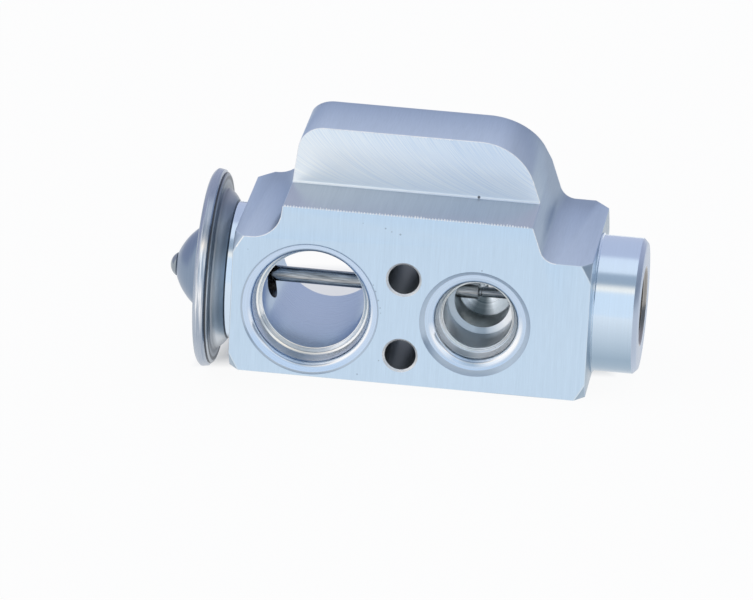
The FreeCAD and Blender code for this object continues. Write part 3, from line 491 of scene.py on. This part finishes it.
def formed_cover():
    """Deep-drawn steel: streaks around the rim, bright as a painted highlight at the rim's middle
    height and crest, a dark line on the dish's lip, duller dome and dish."""
    graph = Graph("stainless_formed")
    depth = graph.minus(graph.y, AXIS_Y)
    radius = graph.radius(depth, graph.z)
    rings = rings_of(graph, radius, graph.x, 5.0)
    along = graph.times(graph.math("ARCTAN2", graph.z, graph.times(depth, -1.0)), 2.2)
    broad = graph.noise(graph.join(graph.times(graph.x, 2.4), along, 0.0), 2.0, 0.5)
    streaks = graph.spread(broad, 0.36, 0.66)
    thin = graph.noise(graph.join(graph.times(graph.x, 12.0), along, 4.0), 4.0, 0.7)
    fine = graph.spread(thin, 0.35, 0.65)
    # painted highlight: the rim's streaks are bright only at middle height and along its crest
    painted_highlight_height = graph.spread(graph.apart(graph.z, 4.0), 12.0, 5.0, 0.1, 1.0)
    painted_highlight_ridge = graph.spread(graph.apart(graph.x, -41.35), 0.95, 0.3, 0.25, 1.0)
    rim = graph.spread(radius, 18.0, 18.4)
    crown = graph.spread(graph.times(rim, graph.x), -42.3, -42.6)
    lit = graph.times(graph.times(streaks, painted_highlight_ridge), painted_highlight_height)
    fac = graph.plus(graph.times(rings, 0.06), graph.times(lit, rim))
    fac = graph.plus(fac, graph.times(rim, graph.plus(graph.times(fine, 0.14), 0.1)))
    fac = graph.minus(fac, graph.times(crown, 0.3))
    lip = graph.spread(graph.apart(radius, 18.2), 0.32, 0.12, 0.0, 0.85)
    lip = graph.times(lip, graph.spread(graph.x, -42.2, -42.5))
    spots = ((lip, (0.07, 0.08, 0.10)),)
    return graph.finish(fac, (0.22, 0.29, 0.40), (0.97, 0.98, 1.0), 0.2, 0.28, spots=spots)


def pressed_drum():
    """Lower cover, with painted shade as dark lines behind its rim and at its foot, on its bend and on its
    upper and lower side, and painted light towards the foot.
    """
    graph = Graph("stainless_drum")
    depth = graph.minus(graph.y, AXIS_Y)
    radius = graph.radius(depth, graph.z)
    fac = rings_of(graph, radius, graph.x, 5.0)
    # painted shade lines behind the rim and at the foot
    line = graph.spread(graph.apart(radius, 18.6), 0.5, 0.2)
    foot = graph.spread(radius, 14.35, 14.2)
    # painted light towards the foot; painted shade on the upper side, the bend and the lower side
    low = graph.spread(radius, 16.6, 14.6)
    upper = graph.spread(graph.z, 5.0, 14.0, 0.0, 0.7)
    painted_bend_shade = graph.spread(graph.apart(radius, 16.8), 0.9, 0.4, 0.0, 0.55)
    lower = graph.spread(graph.z, -9.0, -17.0, 0.0, 0.45)
    graph.grooves(graph.join(0.0, graph.times(graph.z, -1.0), depth), 0.5)
    painted_shade = (0.16, 0.19, 0.23)
    fac = graph.plus(graph.times(fac, 0.3), graph.times(low, 0.7))
    painted_shade_lines = graph.math("MAXIMUM", line, foot)
    spots = ((upper, painted_shade), (lower, painted_shade), (painted_bend_shade, painted_shade), (painted_shade_lines, (0.10, 0.12, 0.15)))
    return graph.finish(fac, (0.55, 0.60, 0.66), (0.92, 0.96, 1.0), 0.36, 0.42, 0.05, spots=spots)


def drawn_rod(name, dark, light):
    """Ground rod with lines along its length."""
    graph = Graph(name)
    fine = graph.noise(graph.vector("MULTIPLY", graph.place, (0.25, 5.0, 5.0)), 4.0, 0.65)
    graph.grooves(graph.join(1.0, 0.0, 0.0), 0.6)
    return graph.finish(graph.spread(fine, 0.35, 0.65), dark, light, 0.12, 0.2)


def edge_grain_and_painted_glint(name, metallic):
    """Bright grain of a broken edge or a burr, light enough to act as a painted highlight along the edge.
    """
    graph = Graph(name)
    grain = graph.spread(graph.noise(graph.vector("SCALE", graph.place, 1.3), 3.0), 0.35, 0.65)
    material = graph.finish(grain, (0.84, 0.89, 0.94), (0.98, 0.99, 1.0), 0.42, 0.55)
    graph.shader.inputs["Metallic"].default_value = metallic
    return material


FACE = brushed_face()
EXTRUDED = extruded_skin()
LEDGE = milled_ledge()
MILLED = milled_ear()
# painted highlight (glint) for chosen bevels, the bolt holes' rims and the cutter's burrs
PAINTED_EDGE_GLINT = edge_grain_and_painted_glint("aluminium_edge", 1.0)
BURR_WITH_PAINTED_GLINT = edge_grain_and_painted_glint("aluminium_burr", 0.25)
TURNED = turned_about_valve_axis(
    "aluminium_turned", BRIGHT_ALUMINIUM, 0.95, 1.05, 0.15, 0.22, painted_shade_share=0.78, left=0.12
)
PORT_CHAMFERS = turned_port("aluminium_port_chamfer", INLET_X, (0.48, 0.58, 0.70), 0.3)
# The lit and shaded sides given to the port finishes below are painted highlights and painted shade
SUCTION_MOUTH = turned_port(
    "aluminium_suction_mouth",
    SUCTION_X,
    (0.57, 0.69, 0.86),
    0.12,
    lit=((45, 52, 1.0), (5, 25, 0.3), (150, 26, 0.6)),
    painted_shade=((90, 22, 0.35), (270, 42, 0.85)),
    within=(12.95, 12.6),
)
SUCTION_WALL = turned_port(
    "aluminium_suction_wall",
    SUCTION_X,
    (0.72, 0.79, 0.87),
    0.2,
    lit=((56, 42, 1.0), (155, 25, 0.4)),
    painted_shade=((98, 22, 0.35),),
    metal=0.6,
)
SUCTION_PORT = turned_port(
    "aluminium_suction_port",
    SUCTION_X,
    (0.88, 0.90, 0.89),
    lit=((50, 45, 0.9), (155, 25, 0.3)),
    painted_shade=((85, 30, 0.2),),
)
SUCTION_BORE = turned_port(
    "aluminium_suction_bore", SUCTION_X, (0.62, 0.72, 0.84), 0.24, edge=(0.60, 0.66, 0.76)
)
INLET_MOUTH = turned_port(
    "aluminium_inlet_mouth",
    INLET_X,
    (0.55, 0.67, 0.83),
    0.12,
    lit=((38, 52, 1.0), (145, 30, 0.8)),
    painted_shade=((90, 20, 0.35), (270, 40, 0.15)),
    within=(9.75, 9.35),
)
INLET_WALL = turned_port(
    "aluminium_inlet_wall",
    INLET_X,
    (0.82, 0.89, 0.96),
    0.2,
    lit=((56, 45, 1.0), (150, 35, 0.5)),
    painted_shade=((104, 22, 0.4),),
    metal=0.5,
)
INLET_PORT = turned_port(
    "aluminium_inlet_port",
    INLET_X,
    (0.90, 0.94, 0.96),
    lit=((35, 65, 1.0), (150, 35, 0.4)),
    painted_shade=((92, 16, 0.2),),
)
INLET_BORE = turned_port(
    "aluminium_inlet_bore",
    INLET_X,
    (0.72, 0.78, 0.82),
    0.3,
    lit=((24, 50, 1.0), (150, 25, 0.4)),
    painted_shade=((100, 50, 0.5),),
    metal=0.8,
)
INLET_STEP = turned_port(
    "aluminium_inlet_step",
    INLET_X,
    (0.44, 0.52, 0.60),
    0.3,
    lit=((22, 60, 1.0),),
    painted_shade=((88, 15, 0.4),),
)
INLET_DEEP = turned_port(
    "aluminium_inlet_deep",
    INLET_X,
    (0.90, 0.94, 0.94),
    0.28,
    lit=((20, 50, 0.8),),
    painted_shade=((180, 40, 0.4),),
)
INLET_FLOOR = drilled_floor("aluminium_inlet_floor", INLET_X)
LIQUID_PORT = turned_port("aluminium_liquid_port", LIQUID_X, PORT_ALUMINIUM)
DRILLED = turned_port("aluminium_drilled", 0.0, (0.40, 0.43, 0.46), 0.3)
BOSS_CHAMFER = turned_about_valve_axis("aluminium_boss_chamfer", (0.50, 0.58, 0.71), 0.96, 1.04, 0.34, 0.42)
CORNER = turned_about_valve_axis("aluminium_corner", (0.54, 0.65, 0.76), 0.96, 1.04, 0.3, 0.38, painted_shade_share=0.5)
SCREW_BORE = turned_about_valve_axis("aluminium_screw_bore", (0.30, 0.29, 0.28), 0.6, 1.5, 0.2, 0.3, 4.0)
COVER_STEEL = formed_cover()
DRUM_STEEL = pressed_drum()
PLUG_STEEL = turned_about_valve_axis("stainless_plug", (0.30, 0.34, 0.38), 0.95, 1.10, 0.10, 0.16, 5.0)
SEAM_STEEL = turned_about_valve_axis("stainless_seam", (0.10, 0.11, 0.13), 0.80, 1.20, 0.30, 0.45, 5.0)
ROD_STEEL = drawn_rod("steel_rod", (0.16, 0.17, 0.18), (0.50, 0.52, 0.54))
# The pin's copy is darker than the rod's: painted shade for the pin inside the inlet bore
PIN_STEEL = drawn_rod("steel_pin", (0.09, 0.10, 0.12), (0.34, 0.37, 0.40))
TRAIN_STEEL = turned_about_valve_axis("steel_ground", GROUND_STEEL, 0.85, 1.12, 0.14, 0.24, 7.0)
BRASS = turned_about_valve_axis("brass_turned", (0.60, 0.44, 0.22), 0.92, 1.05, 0.22, 0.32, 7.0)


def rubber():
    graph = Graph("rubber_moulded")
    grain = graph.spread(graph.noise(graph.vector("SCALE", graph.place, 3.0), 3.0), 0.3, 0.7)
    material = graph.finish(grain, (0.012, 0.012, 0.013), (0.03, 0.03, 0.032), 0.45, 0.6)
    graph.shader.inputs["Metallic"].default_value = 0.0
    return material


RUBBER = rubber()


# Block: extruded outline, milled ear, turned corners, bosses, then the ports
def painted(piece, material):
    piece.data.materials.clear()
    piece.data.materials.append(material)
    return piece


def ear_and_shoulders():
    outline = rounded_outline(
        [
            (BLOCK_LEFT, -BLOCK_HALF, 0),
            (BLOCK_RIGHT, -BLOCK_HALF, 0),
            (BLOCK_RIGHT, BLOCK_HALF, 0),
            (28.1, BLOCK_HALF, 3.5),
            (21.05, EAR_TOP, 12.0),
            (-23.9, EAR_TOP, 5.3),
            (-26.1, BLOCK_HALF, 6.0),
            (BLOCK_LEFT, BLOCK_HALF, 0),
        ],
        3.0,
    )
    block = painted(prism("valve_block", outline, 0, BLOCK_DEPTH), EXTRUDED)
    block.data.materials.append(FACE)
    block.data.materials.append(CORNER)
    for face in block.data.polygons:
        if abs(face.normal.y) > 0.9:
            face.material_index = 1
        if abs(face.normal.x) > 0.999 and face.center.z < 10:
            face.material_index = 2
    ledge = rounded_outline(
        [(-3, LEDGE_Z, 0), (LEDGE_Y, LEDGE_Z, 0.6), (LEDGE_Y, 40, 0), (-3, 40, 0)],
        15.0,
    )
    notch = painted(prism("cut", ledge, -50, 50, "X"), MILLED)
    notch.data.materials.append(LEDGE)
    for face in notch.data.polygons:
        if abs(face.normal.z) > 0.9:
            face.material_index = 1
    combine(block, notch, "DIFFERENCE")
    drop, run, past = 11.2, 8.0, 3
    slope = run / drop
    back = [
        (BLOCK_DEPTH + slope * past, EAR_TOP - drop - past),
        (BLOCK_DEPTH + slope * past, EAR_TOP + past),
        (BLOCK_DEPTH - run - slope * past, EAR_TOP + past),
    ]
    combine(block, painted(prism("cut", back, -50, 50, "X"), EXTRUDED), "DIFFERENCE")
    return block


def build_block():
    block = ear_and_shoulders()
    inner, outer, beyond = 21.6, 28.0, 60.0
    cone = 6.4
    corners = [
        (BLOCK_LEFT, 0),
        (BLOCK_LEFT, inner),
        (BLOCK_LEFT + cone, outer),
        (BLOCK_LEFT + cone, beyond),
        (BLOCK_RIGHT - cone, beyond),
        (BLOCK_RIGHT - cone, outer),
        (BLOCK_RIGHT, inner),
        (BLOCK_RIGHT, 0),
    ]
    combine(block, painted(lathe("cut", corners, "X", AXIS_Y, 240), CORNER), "INTERSECT")
    block.data.materials.append(PAINTED_EDGE_GLINT)
    bevel = block.modifiers.new("edges", "BEVEL")
    bevel_material = len(block.data.materials) - 1
    bevel.material = bevel_material
    bevel.width = 0.16
    bevel.segments = 2
    bevel.limit_method = "ANGLE"
    bevel.angle_limit = math.radians(25)
    bevel.use_clamp_overlap = False
    bevel.miter_outer = "MITER_ARC"
    bake(block)
    # painted highlight: only the bevels along the front's upper edge and the ledge edge keep the bright
    # edge finish
    for face in block.data.polygons:
        x, y, z = face.center
        bright = (y < 0.2 and 12 < z < 21 and x < 31.5) or (z > 22 and LEDGE_Y - 0.3 < y < LEDGE_Y + 0.3)
        if face.material_index == bevel_material and not bright:
            face.material_index = 0
    head_boss = [(-30, 0), (-30, 14.0), (-36.85, 14.0), (-37, 13.85), (-37, 0)]
    combine(block, painted(lathe("cut", head_boss, "X", AXIS_Y, 240), TURNED), "UNION")
    screw_boss = [
        (30, 0),
        (30, 14.25),
        (38.12, 14.25),
        (38.2, 14.17),
        (38.3, BOSS_RADIUS + 0.05),
        (38.5, BOSS_RADIUS),
        (BOSS_END - 0.98, BOSS_RADIUS),
        (BOSS_END - 0.92, 13.86),
        (BOSS_END - 0.03, 12.97),
        (BOSS_END, 12.9),
        (BOSS_END, 0),
    ]
    boss = painted(lathe("cut", screw_boss, "X", AXIS_Y, 240), TURNED)
    boss.data.materials.append(BOSS_CHAMFER)
    for face in boss.data.polygons:
        if face.center.x > BOSS_END - 0.95:
            face.material_index = 1
    combine(block, boss, "UNION")
    return block


SUCTION_FRONT = curved(
    [
        (-1, 0), (-1, 14.9), (-0.03, 14.17), (0.0, 14.12), (0.34, 13.74), (0.36, 13.7),
        (0.7, 12.9, 0.287), (2.085, 11.93), (3.4, 11.82), (4.3, 11.5), (4.5, 11.26),
        (4.55, 11.18), (4.6, 11.12), (4.85, 11.1), (4.9, 11.04), (5.3, 10.76), (5.35, 10.68),
        (5.42, 10.62), (5.56, 10.6), (5.64, 10.48), (5.72, 10.45), (35.4, 10.45),
        (36.2, 11.85), (36.3, 11.92), (38.55, 13.15), (38.7, 13.4), (39.6, 13.6), (39.6, 0),
    ]
)
INLET_FRONT = curved(
    [
        (-1, 0), (-1, 12.1), (-0.03, 11.35), (0.0, 11.3), (0.94, 10.34), (0.96, 10.3),
        (1.05, 9.6, 0.349), (2.44, 8.28), (3.1, 8.2), (4.1, 7.86), (4.35, 7.72), (4.45, 7.6),
        (4.72, 7.45), (4.76, 7.36), (5.02, 7.2), (5.06, 7.1), (5.28, 6.98), (5.4, 6.95),
        (12.9, 6.95), (13.3, 5.7), (20.3, 5.7), (23.72, 0),
    ]
)
LIQUID_BACK = [
    (39.6, 0), (39.6, 10.0), (38.7, 9.45), (38.6, 9.3), (36.3, 7.25), (36.2, 7.2), (35.2, 7.2),
    (33.7, 5.9), (28.2, 5.9), (27.8, 4.2), (21.5, 4.2), (20.5, 0),
]
BOLT_RIM = [(-1, 0), (-1, 4.4), (0, 3.64), (0.1, 3.54), (0.4, 3.28), (0.55, 3.1), (0.55, 0)]
BOLT_HOLE = [(-1, 0), (-1, 3.2), (38.1, 3.2), (38.6, 3.6), (39.6, 4.2), (39.6, 0)]
CLAMP_HOLE = [(39.6, 0), (39.6, 4.6), (38.6, 4.1), (37.9, 3.4), (22.6, 3.4), (20.56, 0)]
AXIS_BORES = [
    (-38, 0), (-38, 9.95), (-37, 9.85), (-36.9, 9.8), (-35.4, 9.8), (-35.4, 8.0), (-31.0, 8.0),
    (-31.0, 5.1), (-18.85, 5.1), (-18.85, 3.4), (-4.0, 3.4), (-4.0, 1.64), (14.85, 1.64),
    (14.85, 1.9), (24.0, 1.9), (24.6, 3.5), (24.6, 6.9), (35.6, 6.9), (36.2, 7.5),
    (46.45, 7.5), (47.15, 8.2), (47.3, 8.3), (48, 8.6), (48, 0),
]

# Finish of each port from a depth on
SUCTION_ZONES = (
    (-1, PORT_CHAMFERS), (0.35, SUCTION_MOUTH), (2.085, SUCTION_WALL), (4.35, SUCTION_PORT),
    (5.7, SUCTION_BORE),
)
INLET_ZONES = (
    (-1, PORT_CHAMFERS), (0.95, INLET_MOUTH), (2.4, INLET_WALL), (4.25, INLET_PORT),
    (5.4, INLET_BORE), (12.95, INLET_STEP), (13.35, INLET_DEEP), (20.4, INLET_FLOOR),
)


def cut_ports(block):
    for profile, axis, centre, zones, steps in (
        (SUCTION_FRONT, "Y", SUCTION_X, SUCTION_ZONES, 224),
        (INLET_FRONT, "Y", INLET_X, INLET_ZONES, 192),
        (LIQUID_BACK, "Y", LIQUID_X, ((0, LIQUID_PORT),), 144),
        (AXIS_BORES, "X", AXIS_Y, ((0, SCREW_BORE),), 144),
    ):
        cutter = lathe("cut", profile, axis, centre, steps)
        for _, material in zones:
            cutter.data.materials.append(material)
        for face in cutter.data.polygons:
            for number, (start, _) in enumerate(zones):
                if face.center.y > start:
                    face.material_index = number
        combine(block, cutter, "DIFFERENCE")
    for profile, height in ((BOLT_HOLE, BOLT_Z), (BOLT_HOLE, -BOLT_Z), (CLAMP_HOLE, CLAMP_Z)):
        hole = painted(lathe("cut", profile, "Y", 0.0, 96), DRILLED)
        hole.data.transform(Matrix.Translation((0, 0, height)))
        combine(block, hole, "DIFFERENCE")
    # the bolt holes' rims take the bright edge finish as a painted highlight
    for height in (BOLT_Z, -BOLT_Z):
        rim = painted(lathe("cut", BOLT_RIM, "Y", 0.0, 96), PAINTED_EDGE_GLINT)
        rim.data.transform(Matrix.Translation((0, 0, height)))
        combine(block, rim, "DIFFERENCE")


block = build_block()
cut_ports(block)
finish_mesh(block)
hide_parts("valve_body")
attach(block, "housing")

# Power head: covers and charging plug, turned more finely
LOWER_COVER = curved(
    [
        (-40.0, 15.7), (-40.0, 19.5), (-39.92, 19.55, -0.3), (-39.65, 18.95),
        (-39.65, 16.9, 0.41), (-39.15, 16.4, -0.12), (-37.0, 14.0), (-37.0, 7.9), (-31.9, 7.9),
        (-31.4, 7.4), (-31.4, 5.5), (-38.0, 5.5), (-38.0, 13.55),
    ]
)
UPPER_COVER = curved(
    [
        (-40.2, 15.7), (-40.2, 19.6), (-40.26, 19.75), (-40.5, 20.15), (-41.7, 20.35, 0.33),
        (-42.7, 18.2), (-42.7, 16.8, 0.3), (-42.4, 15.3), (-42.4, 11.2, -0.32),
        (-44.45, 8.05, 0.14), (-48.6, 2.45), (-48.7, 2.25), (-48.7, 1.25), (-47.35, 1.25),
        (-47.05, 2.95, -0.14), (-43.45, 7.55, 0.32), (-41.4, 10.4), (-41.4, 14.5),
        (-40.5, 15.7),
    ]
)
CHARGE_PLUG = curved(
    [
        (-50.1, 0.0), (-46.65, 0.0), (-46.65, 0.95), (-46.95, 1.25), (-48.7, 1.25),
        (-48.7, 2.32), (-48.76, 2.4, 0.27),
    ]
)


def build_head():
    for name, profile, material in (
        ("head_lower_cover", LOWER_COVER, DRUM_STEEL),
        ("head_upper_cover", UPPER_COVER, COVER_STEEL),
        ("charge_plug", CHARGE_PLUG, PLUG_STEEL),
    ):
        piece = painted(lathe("turned_" + name, profile, "X", AXIS_Y, 224), material)
        finish_mesh(piece)
        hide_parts(name)
        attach(piece, "housing")


build_head()


def burr_row(name, x_from, x_to, y, z, pitch, height, threshold):
    """Small spikes that the cutter left along an edge."""
    foot, tip = 0.15, 0.08
    sides = ((3, 2, 1, 0), (0, 1, 5, 4), (1, 2, 5), (2, 3, 4, 5), (3, 0, 4))
    vertices = []
    faces = []
    for number in range(int((x_to - x_from) / pitch)):
        chance = noise.noise(Vector((number * 0.37, z, 3.1)))
        jitter = noise.noise(Vector((number * 5.3, z, 7.7)))
        if chance < threshold:
            continue
        x = x_from + number * pitch + jitter * 0.12
        rise = height * (0.75 + 0.5 * jitter + 0.4 * chance)
        start = len(vertices)
        vertices += [(x + a, y - 0.1, z - 0.15) for a in (-foot, foot)]
        vertices += [(x + a, y + 0.3, z - 0.1) for a in (foot, -foot)]
        vertices += [(x + a, y - 0.06, z + rise) for a in (-tip, tip)]
        faces += [[start + corner for corner in side] for side in sides]
    piece = painted(from_lists(name, vertices, faces), BURR_WITH_PAINTED_GLINT)
    flip_outward(piece.data)
    piece.data.transform(Matrix.Scale(MM, 4))
    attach(piece, "housing")


# real burr spikes, whitened as a painted glint
burr_row("ledge_burrs", -24.8, 25.2, 0.0, LEDGE_Z, 0.6, 0.36, -0.8)
burr_row("ear_burrs", -19.5, 8.0, LEDGE_Y, EAR_TOP - 0.1, 0.6, 0.16, -0.05)

for names, material in (
    (("diaphragm",), SEAM_STEEL),
    (("sensing_rod",), ROD_STEEL),
    (("actuating_pin",), PIN_STEEL),
    (("pressure_plate", "valve_ball", "ball_carrier", "damper_spring", "superheat_spring"), TRAIN_STEEL),
    (("adjusting_screw", "seal_retainer"), BRASS),
    (("head_seal", "rod_seal", "adjuster_seal"), RUBBER),
):
    for name in names:
        mesh = nodes[name].data
        mesh.materials.clear()
        mesh.materials.append(material)


# Floor under the head's rim and the block's lower right edge, white to the eye and in
# reflections; under and behind the part it glows less, a painted shade patch where the diffuse floor's real
# shadow shows
def lay_floor():
    tilt = math.atan2(HEAD_RIM_RADIUS - 14.62, 37.6 - HEAD_RIM_X)
    reach = 0.6
    corners = [(-reach, -reach, 0), (reach, -reach, 0), (reach, reach, 0), (-reach, reach, 0)]
    floor = from_lists("studio_floor", corners, [(0, 1, 2, 3)])
    floor.location = (HEAD_RIM_X * MM, 0.0, -20.36 * MM)
    floor.rotation_euler = (0.0, -tilt, 0.0)
    graph = Graph("floor_white")
    tree = graph.tree
    seen = graph.add("ShaderNodeLightPath")
    diffuse = graph.add("ShaderNodeBsdfDiffuse")
    diffuse.inputs["Color"].default_value = (0.88, 0.88, 0.88, 1)
    glow = graph.add("ShaderNodeEmission")
    glow.inputs["Color"].default_value = (1, 1, 1, 1)
    shown = graph.math("MAXIMUM", seen.outputs["Is Camera Ray"], seen.outputs["Is Glossy Ray"])
    shown = graph.math("MAXIMUM", shown, seen.outputs["Is Transmission Ray"])
    # painted shade patch: the glow drops under and behind the part
    beside = graph.minus(graph.apart(graph.x, 41.0), 40.0)
    along = graph.minus(graph.apart(graph.y, 45.0), 27.0)
    share = graph.spread(graph.math("MAXIMUM", beside, along), -4.0, 4.0, 0.3, 0.94)
    blend = graph.add("ShaderNodeMixShader")
    tree.links.new(graph.times(shown, share), blend.inputs[0])
    tree.links.new(diffuse.outputs[0], blend.inputs[1])
    tree.links.new(glow.outputs[0], blend.inputs[2])
    tree.links.new(blend.outputs[0], tree.nodes["Material Output"].inputs[0])
    tree.nodes.remove(graph.shader)
    floor.data.materials.append(graph.material)


# Studio: light by the angle around the valve axis, from the front horizon (0) over the top,
# brighter to the left and darker to the right
STUDIO = (
    (-180, (0.58, 0.61, 0.74)),
    (-120, (0.60, 0.63, 0.75)),
    (-70, (0.95, 0.97, 1.0)),
    (0, (0.88, 0.94, 1.0)),
    (38, (0.86, 0.93, 1.0)),
    (42, (1.25, 1.12, 0.98)),
    (47, (1.25, 1.12, 0.98)),
    (54, (0.40, 0.46, 0.53)),
    (71, (0.42, 0.48, 0.56)),
    (75, (0.92, 0.95, 1.0)),
    (102, (0.90, 0.93, 1.0)),
    (109, (0.60, 0.62, 0.75)),
    (180, (0.60, 0.62, 0.75)),
)


def light_studio():
    world = bpy.data.worlds.new("studio")
    bpy.context.scene.world = world
    world.use_nodes = True
    tree = world.node_tree
    tree.nodes.clear()

    def add(kind, **settings):
        node = tree.nodes.new(kind)
        for key, value in settings.items():
            setattr(node, key, value)
        return node

    def spread(value, low, high):
        node = add("ShaderNodeMapRange", interpolation_type="SMOOTHSTEP")
        tree.links.new(value, node.inputs["Value"])
        node.inputs["From Min"].default_value = low
        node.inputs["From Max"].default_value = high
        return node.outputs[0]

    def product(a, b):
        node = add("ShaderNodeMath", operation="MULTIPLY")
        for value, socket in ((a, node.inputs[0]), (b, node.inputs[1])):
            if isinstance(value, float):
                socket.default_value = value
            else:
                tree.links.new(value, socket)
        return node.outputs[0]

    def toned(base, share, colour):
        node = add("ShaderNodeMix", data_type="RGBA")
        tree.links.new(share, node.inputs[0])
        tree.links.new(base, node.inputs[6])
        node.inputs[7].default_value = (*colour, 1)
        return node.outputs[2]

    where = add("ShaderNodeTexCoord")
    parts = add("ShaderNodeSeparateXYZ")
    tree.links.new(where.outputs["Generated"], parts.inputs[0])
    angle = add("ShaderNodeMath", operation="ARCTAN2")
    tree.links.new(parts.outputs["Z"], angle.inputs[0])
    tree.links.new(product(parts.outputs["Y"], -1.0), angle.inputs[1])
    turned = add("ShaderNodeMapRange")
    turned.inputs["From Min"].default_value = -math.pi
    turned.inputs["From Max"].default_value = math.pi
    tree.links.new(angle.outputs[0], turned.inputs["Value"])
    ramp = add("ShaderNodeValToRGB")
    tree.links.new(turned.outputs[0], ramp.inputs[0])
    elements = ramp.color_ramp.elements
    while len(elements) > 1:
        elements.remove(elements[-1])
    for number, (degrees, colour) in enumerate(STUDIO):
        place = (degrees + 180) / 360
        element = elements[0] if number == 0 else elements.new(place)
        element.position = place
        element.color = (*colour, 1)
    right = spread(parts.outputs["X"], 0.68, 0.92)
    left = spread(product(parts.outputs["X"], -1.0), 0.4, 0.8)
    left = product(left, spread(parts.outputs["Y"], 0.2, 0.0))
    colour = toned(ramp.outputs[0], right, (0.26, 0.31, 0.38))
    colour = toned(colour, left, (1.0, 1.0, 1.0))
    background = add("ShaderNodeBackground")
    tree.links.new(colour, background.inputs["Color"])
    output = add("ShaderNodeOutputWorld")
    tree.links.new(background.outputs[0], output.inputs[0])


# Camera at the photograph's viewing angle
def place_camera():
    azimuth = math.radians(6.37774)
    elevation = math.radians(21.22252)
    roll = math.radians(2.90771)
    distance = 1.54777
    photo_width = 753
    focal_length = 7573.8
    ahead = Vector(
        (
            -math.sin(azimuth) * math.cos(elevation),
            math.cos(azimuth) * math.cos(elevation),
            -math.sin(elevation),
        )
    )
    side = Vector((math.cos(azimuth), math.sin(azimuth), 0))
    above = side.cross(ahead)
    right = math.cos(roll) * side + math.sin(roll) * above
    up = -math.sin(roll) * side + math.cos(roll) * above
    target = Vector((-7.31784, 18.0, -3.67232)) * MM
    data = bpy.data.cameras.new("camera")
    data.sensor_fit = "HORIZONTAL"
    data.sensor_width = 36.0
    data.lens = data.sensor_width * focal_length / photo_width
    data.clip_start = 0.1
    data.clip_end = 10
    camera = new_object("camera", data)
    turn = Matrix((right, up, -ahead)).transposed().to_4x4()
    camera.matrix_world = Matrix.Translation(target - ahead * distance) @ turn
    bpy.context.scene.camera = camera


lay_floor()
light_studio()
place_camera()
bpy.context.scene.view_settings.view_transform = "Standard"
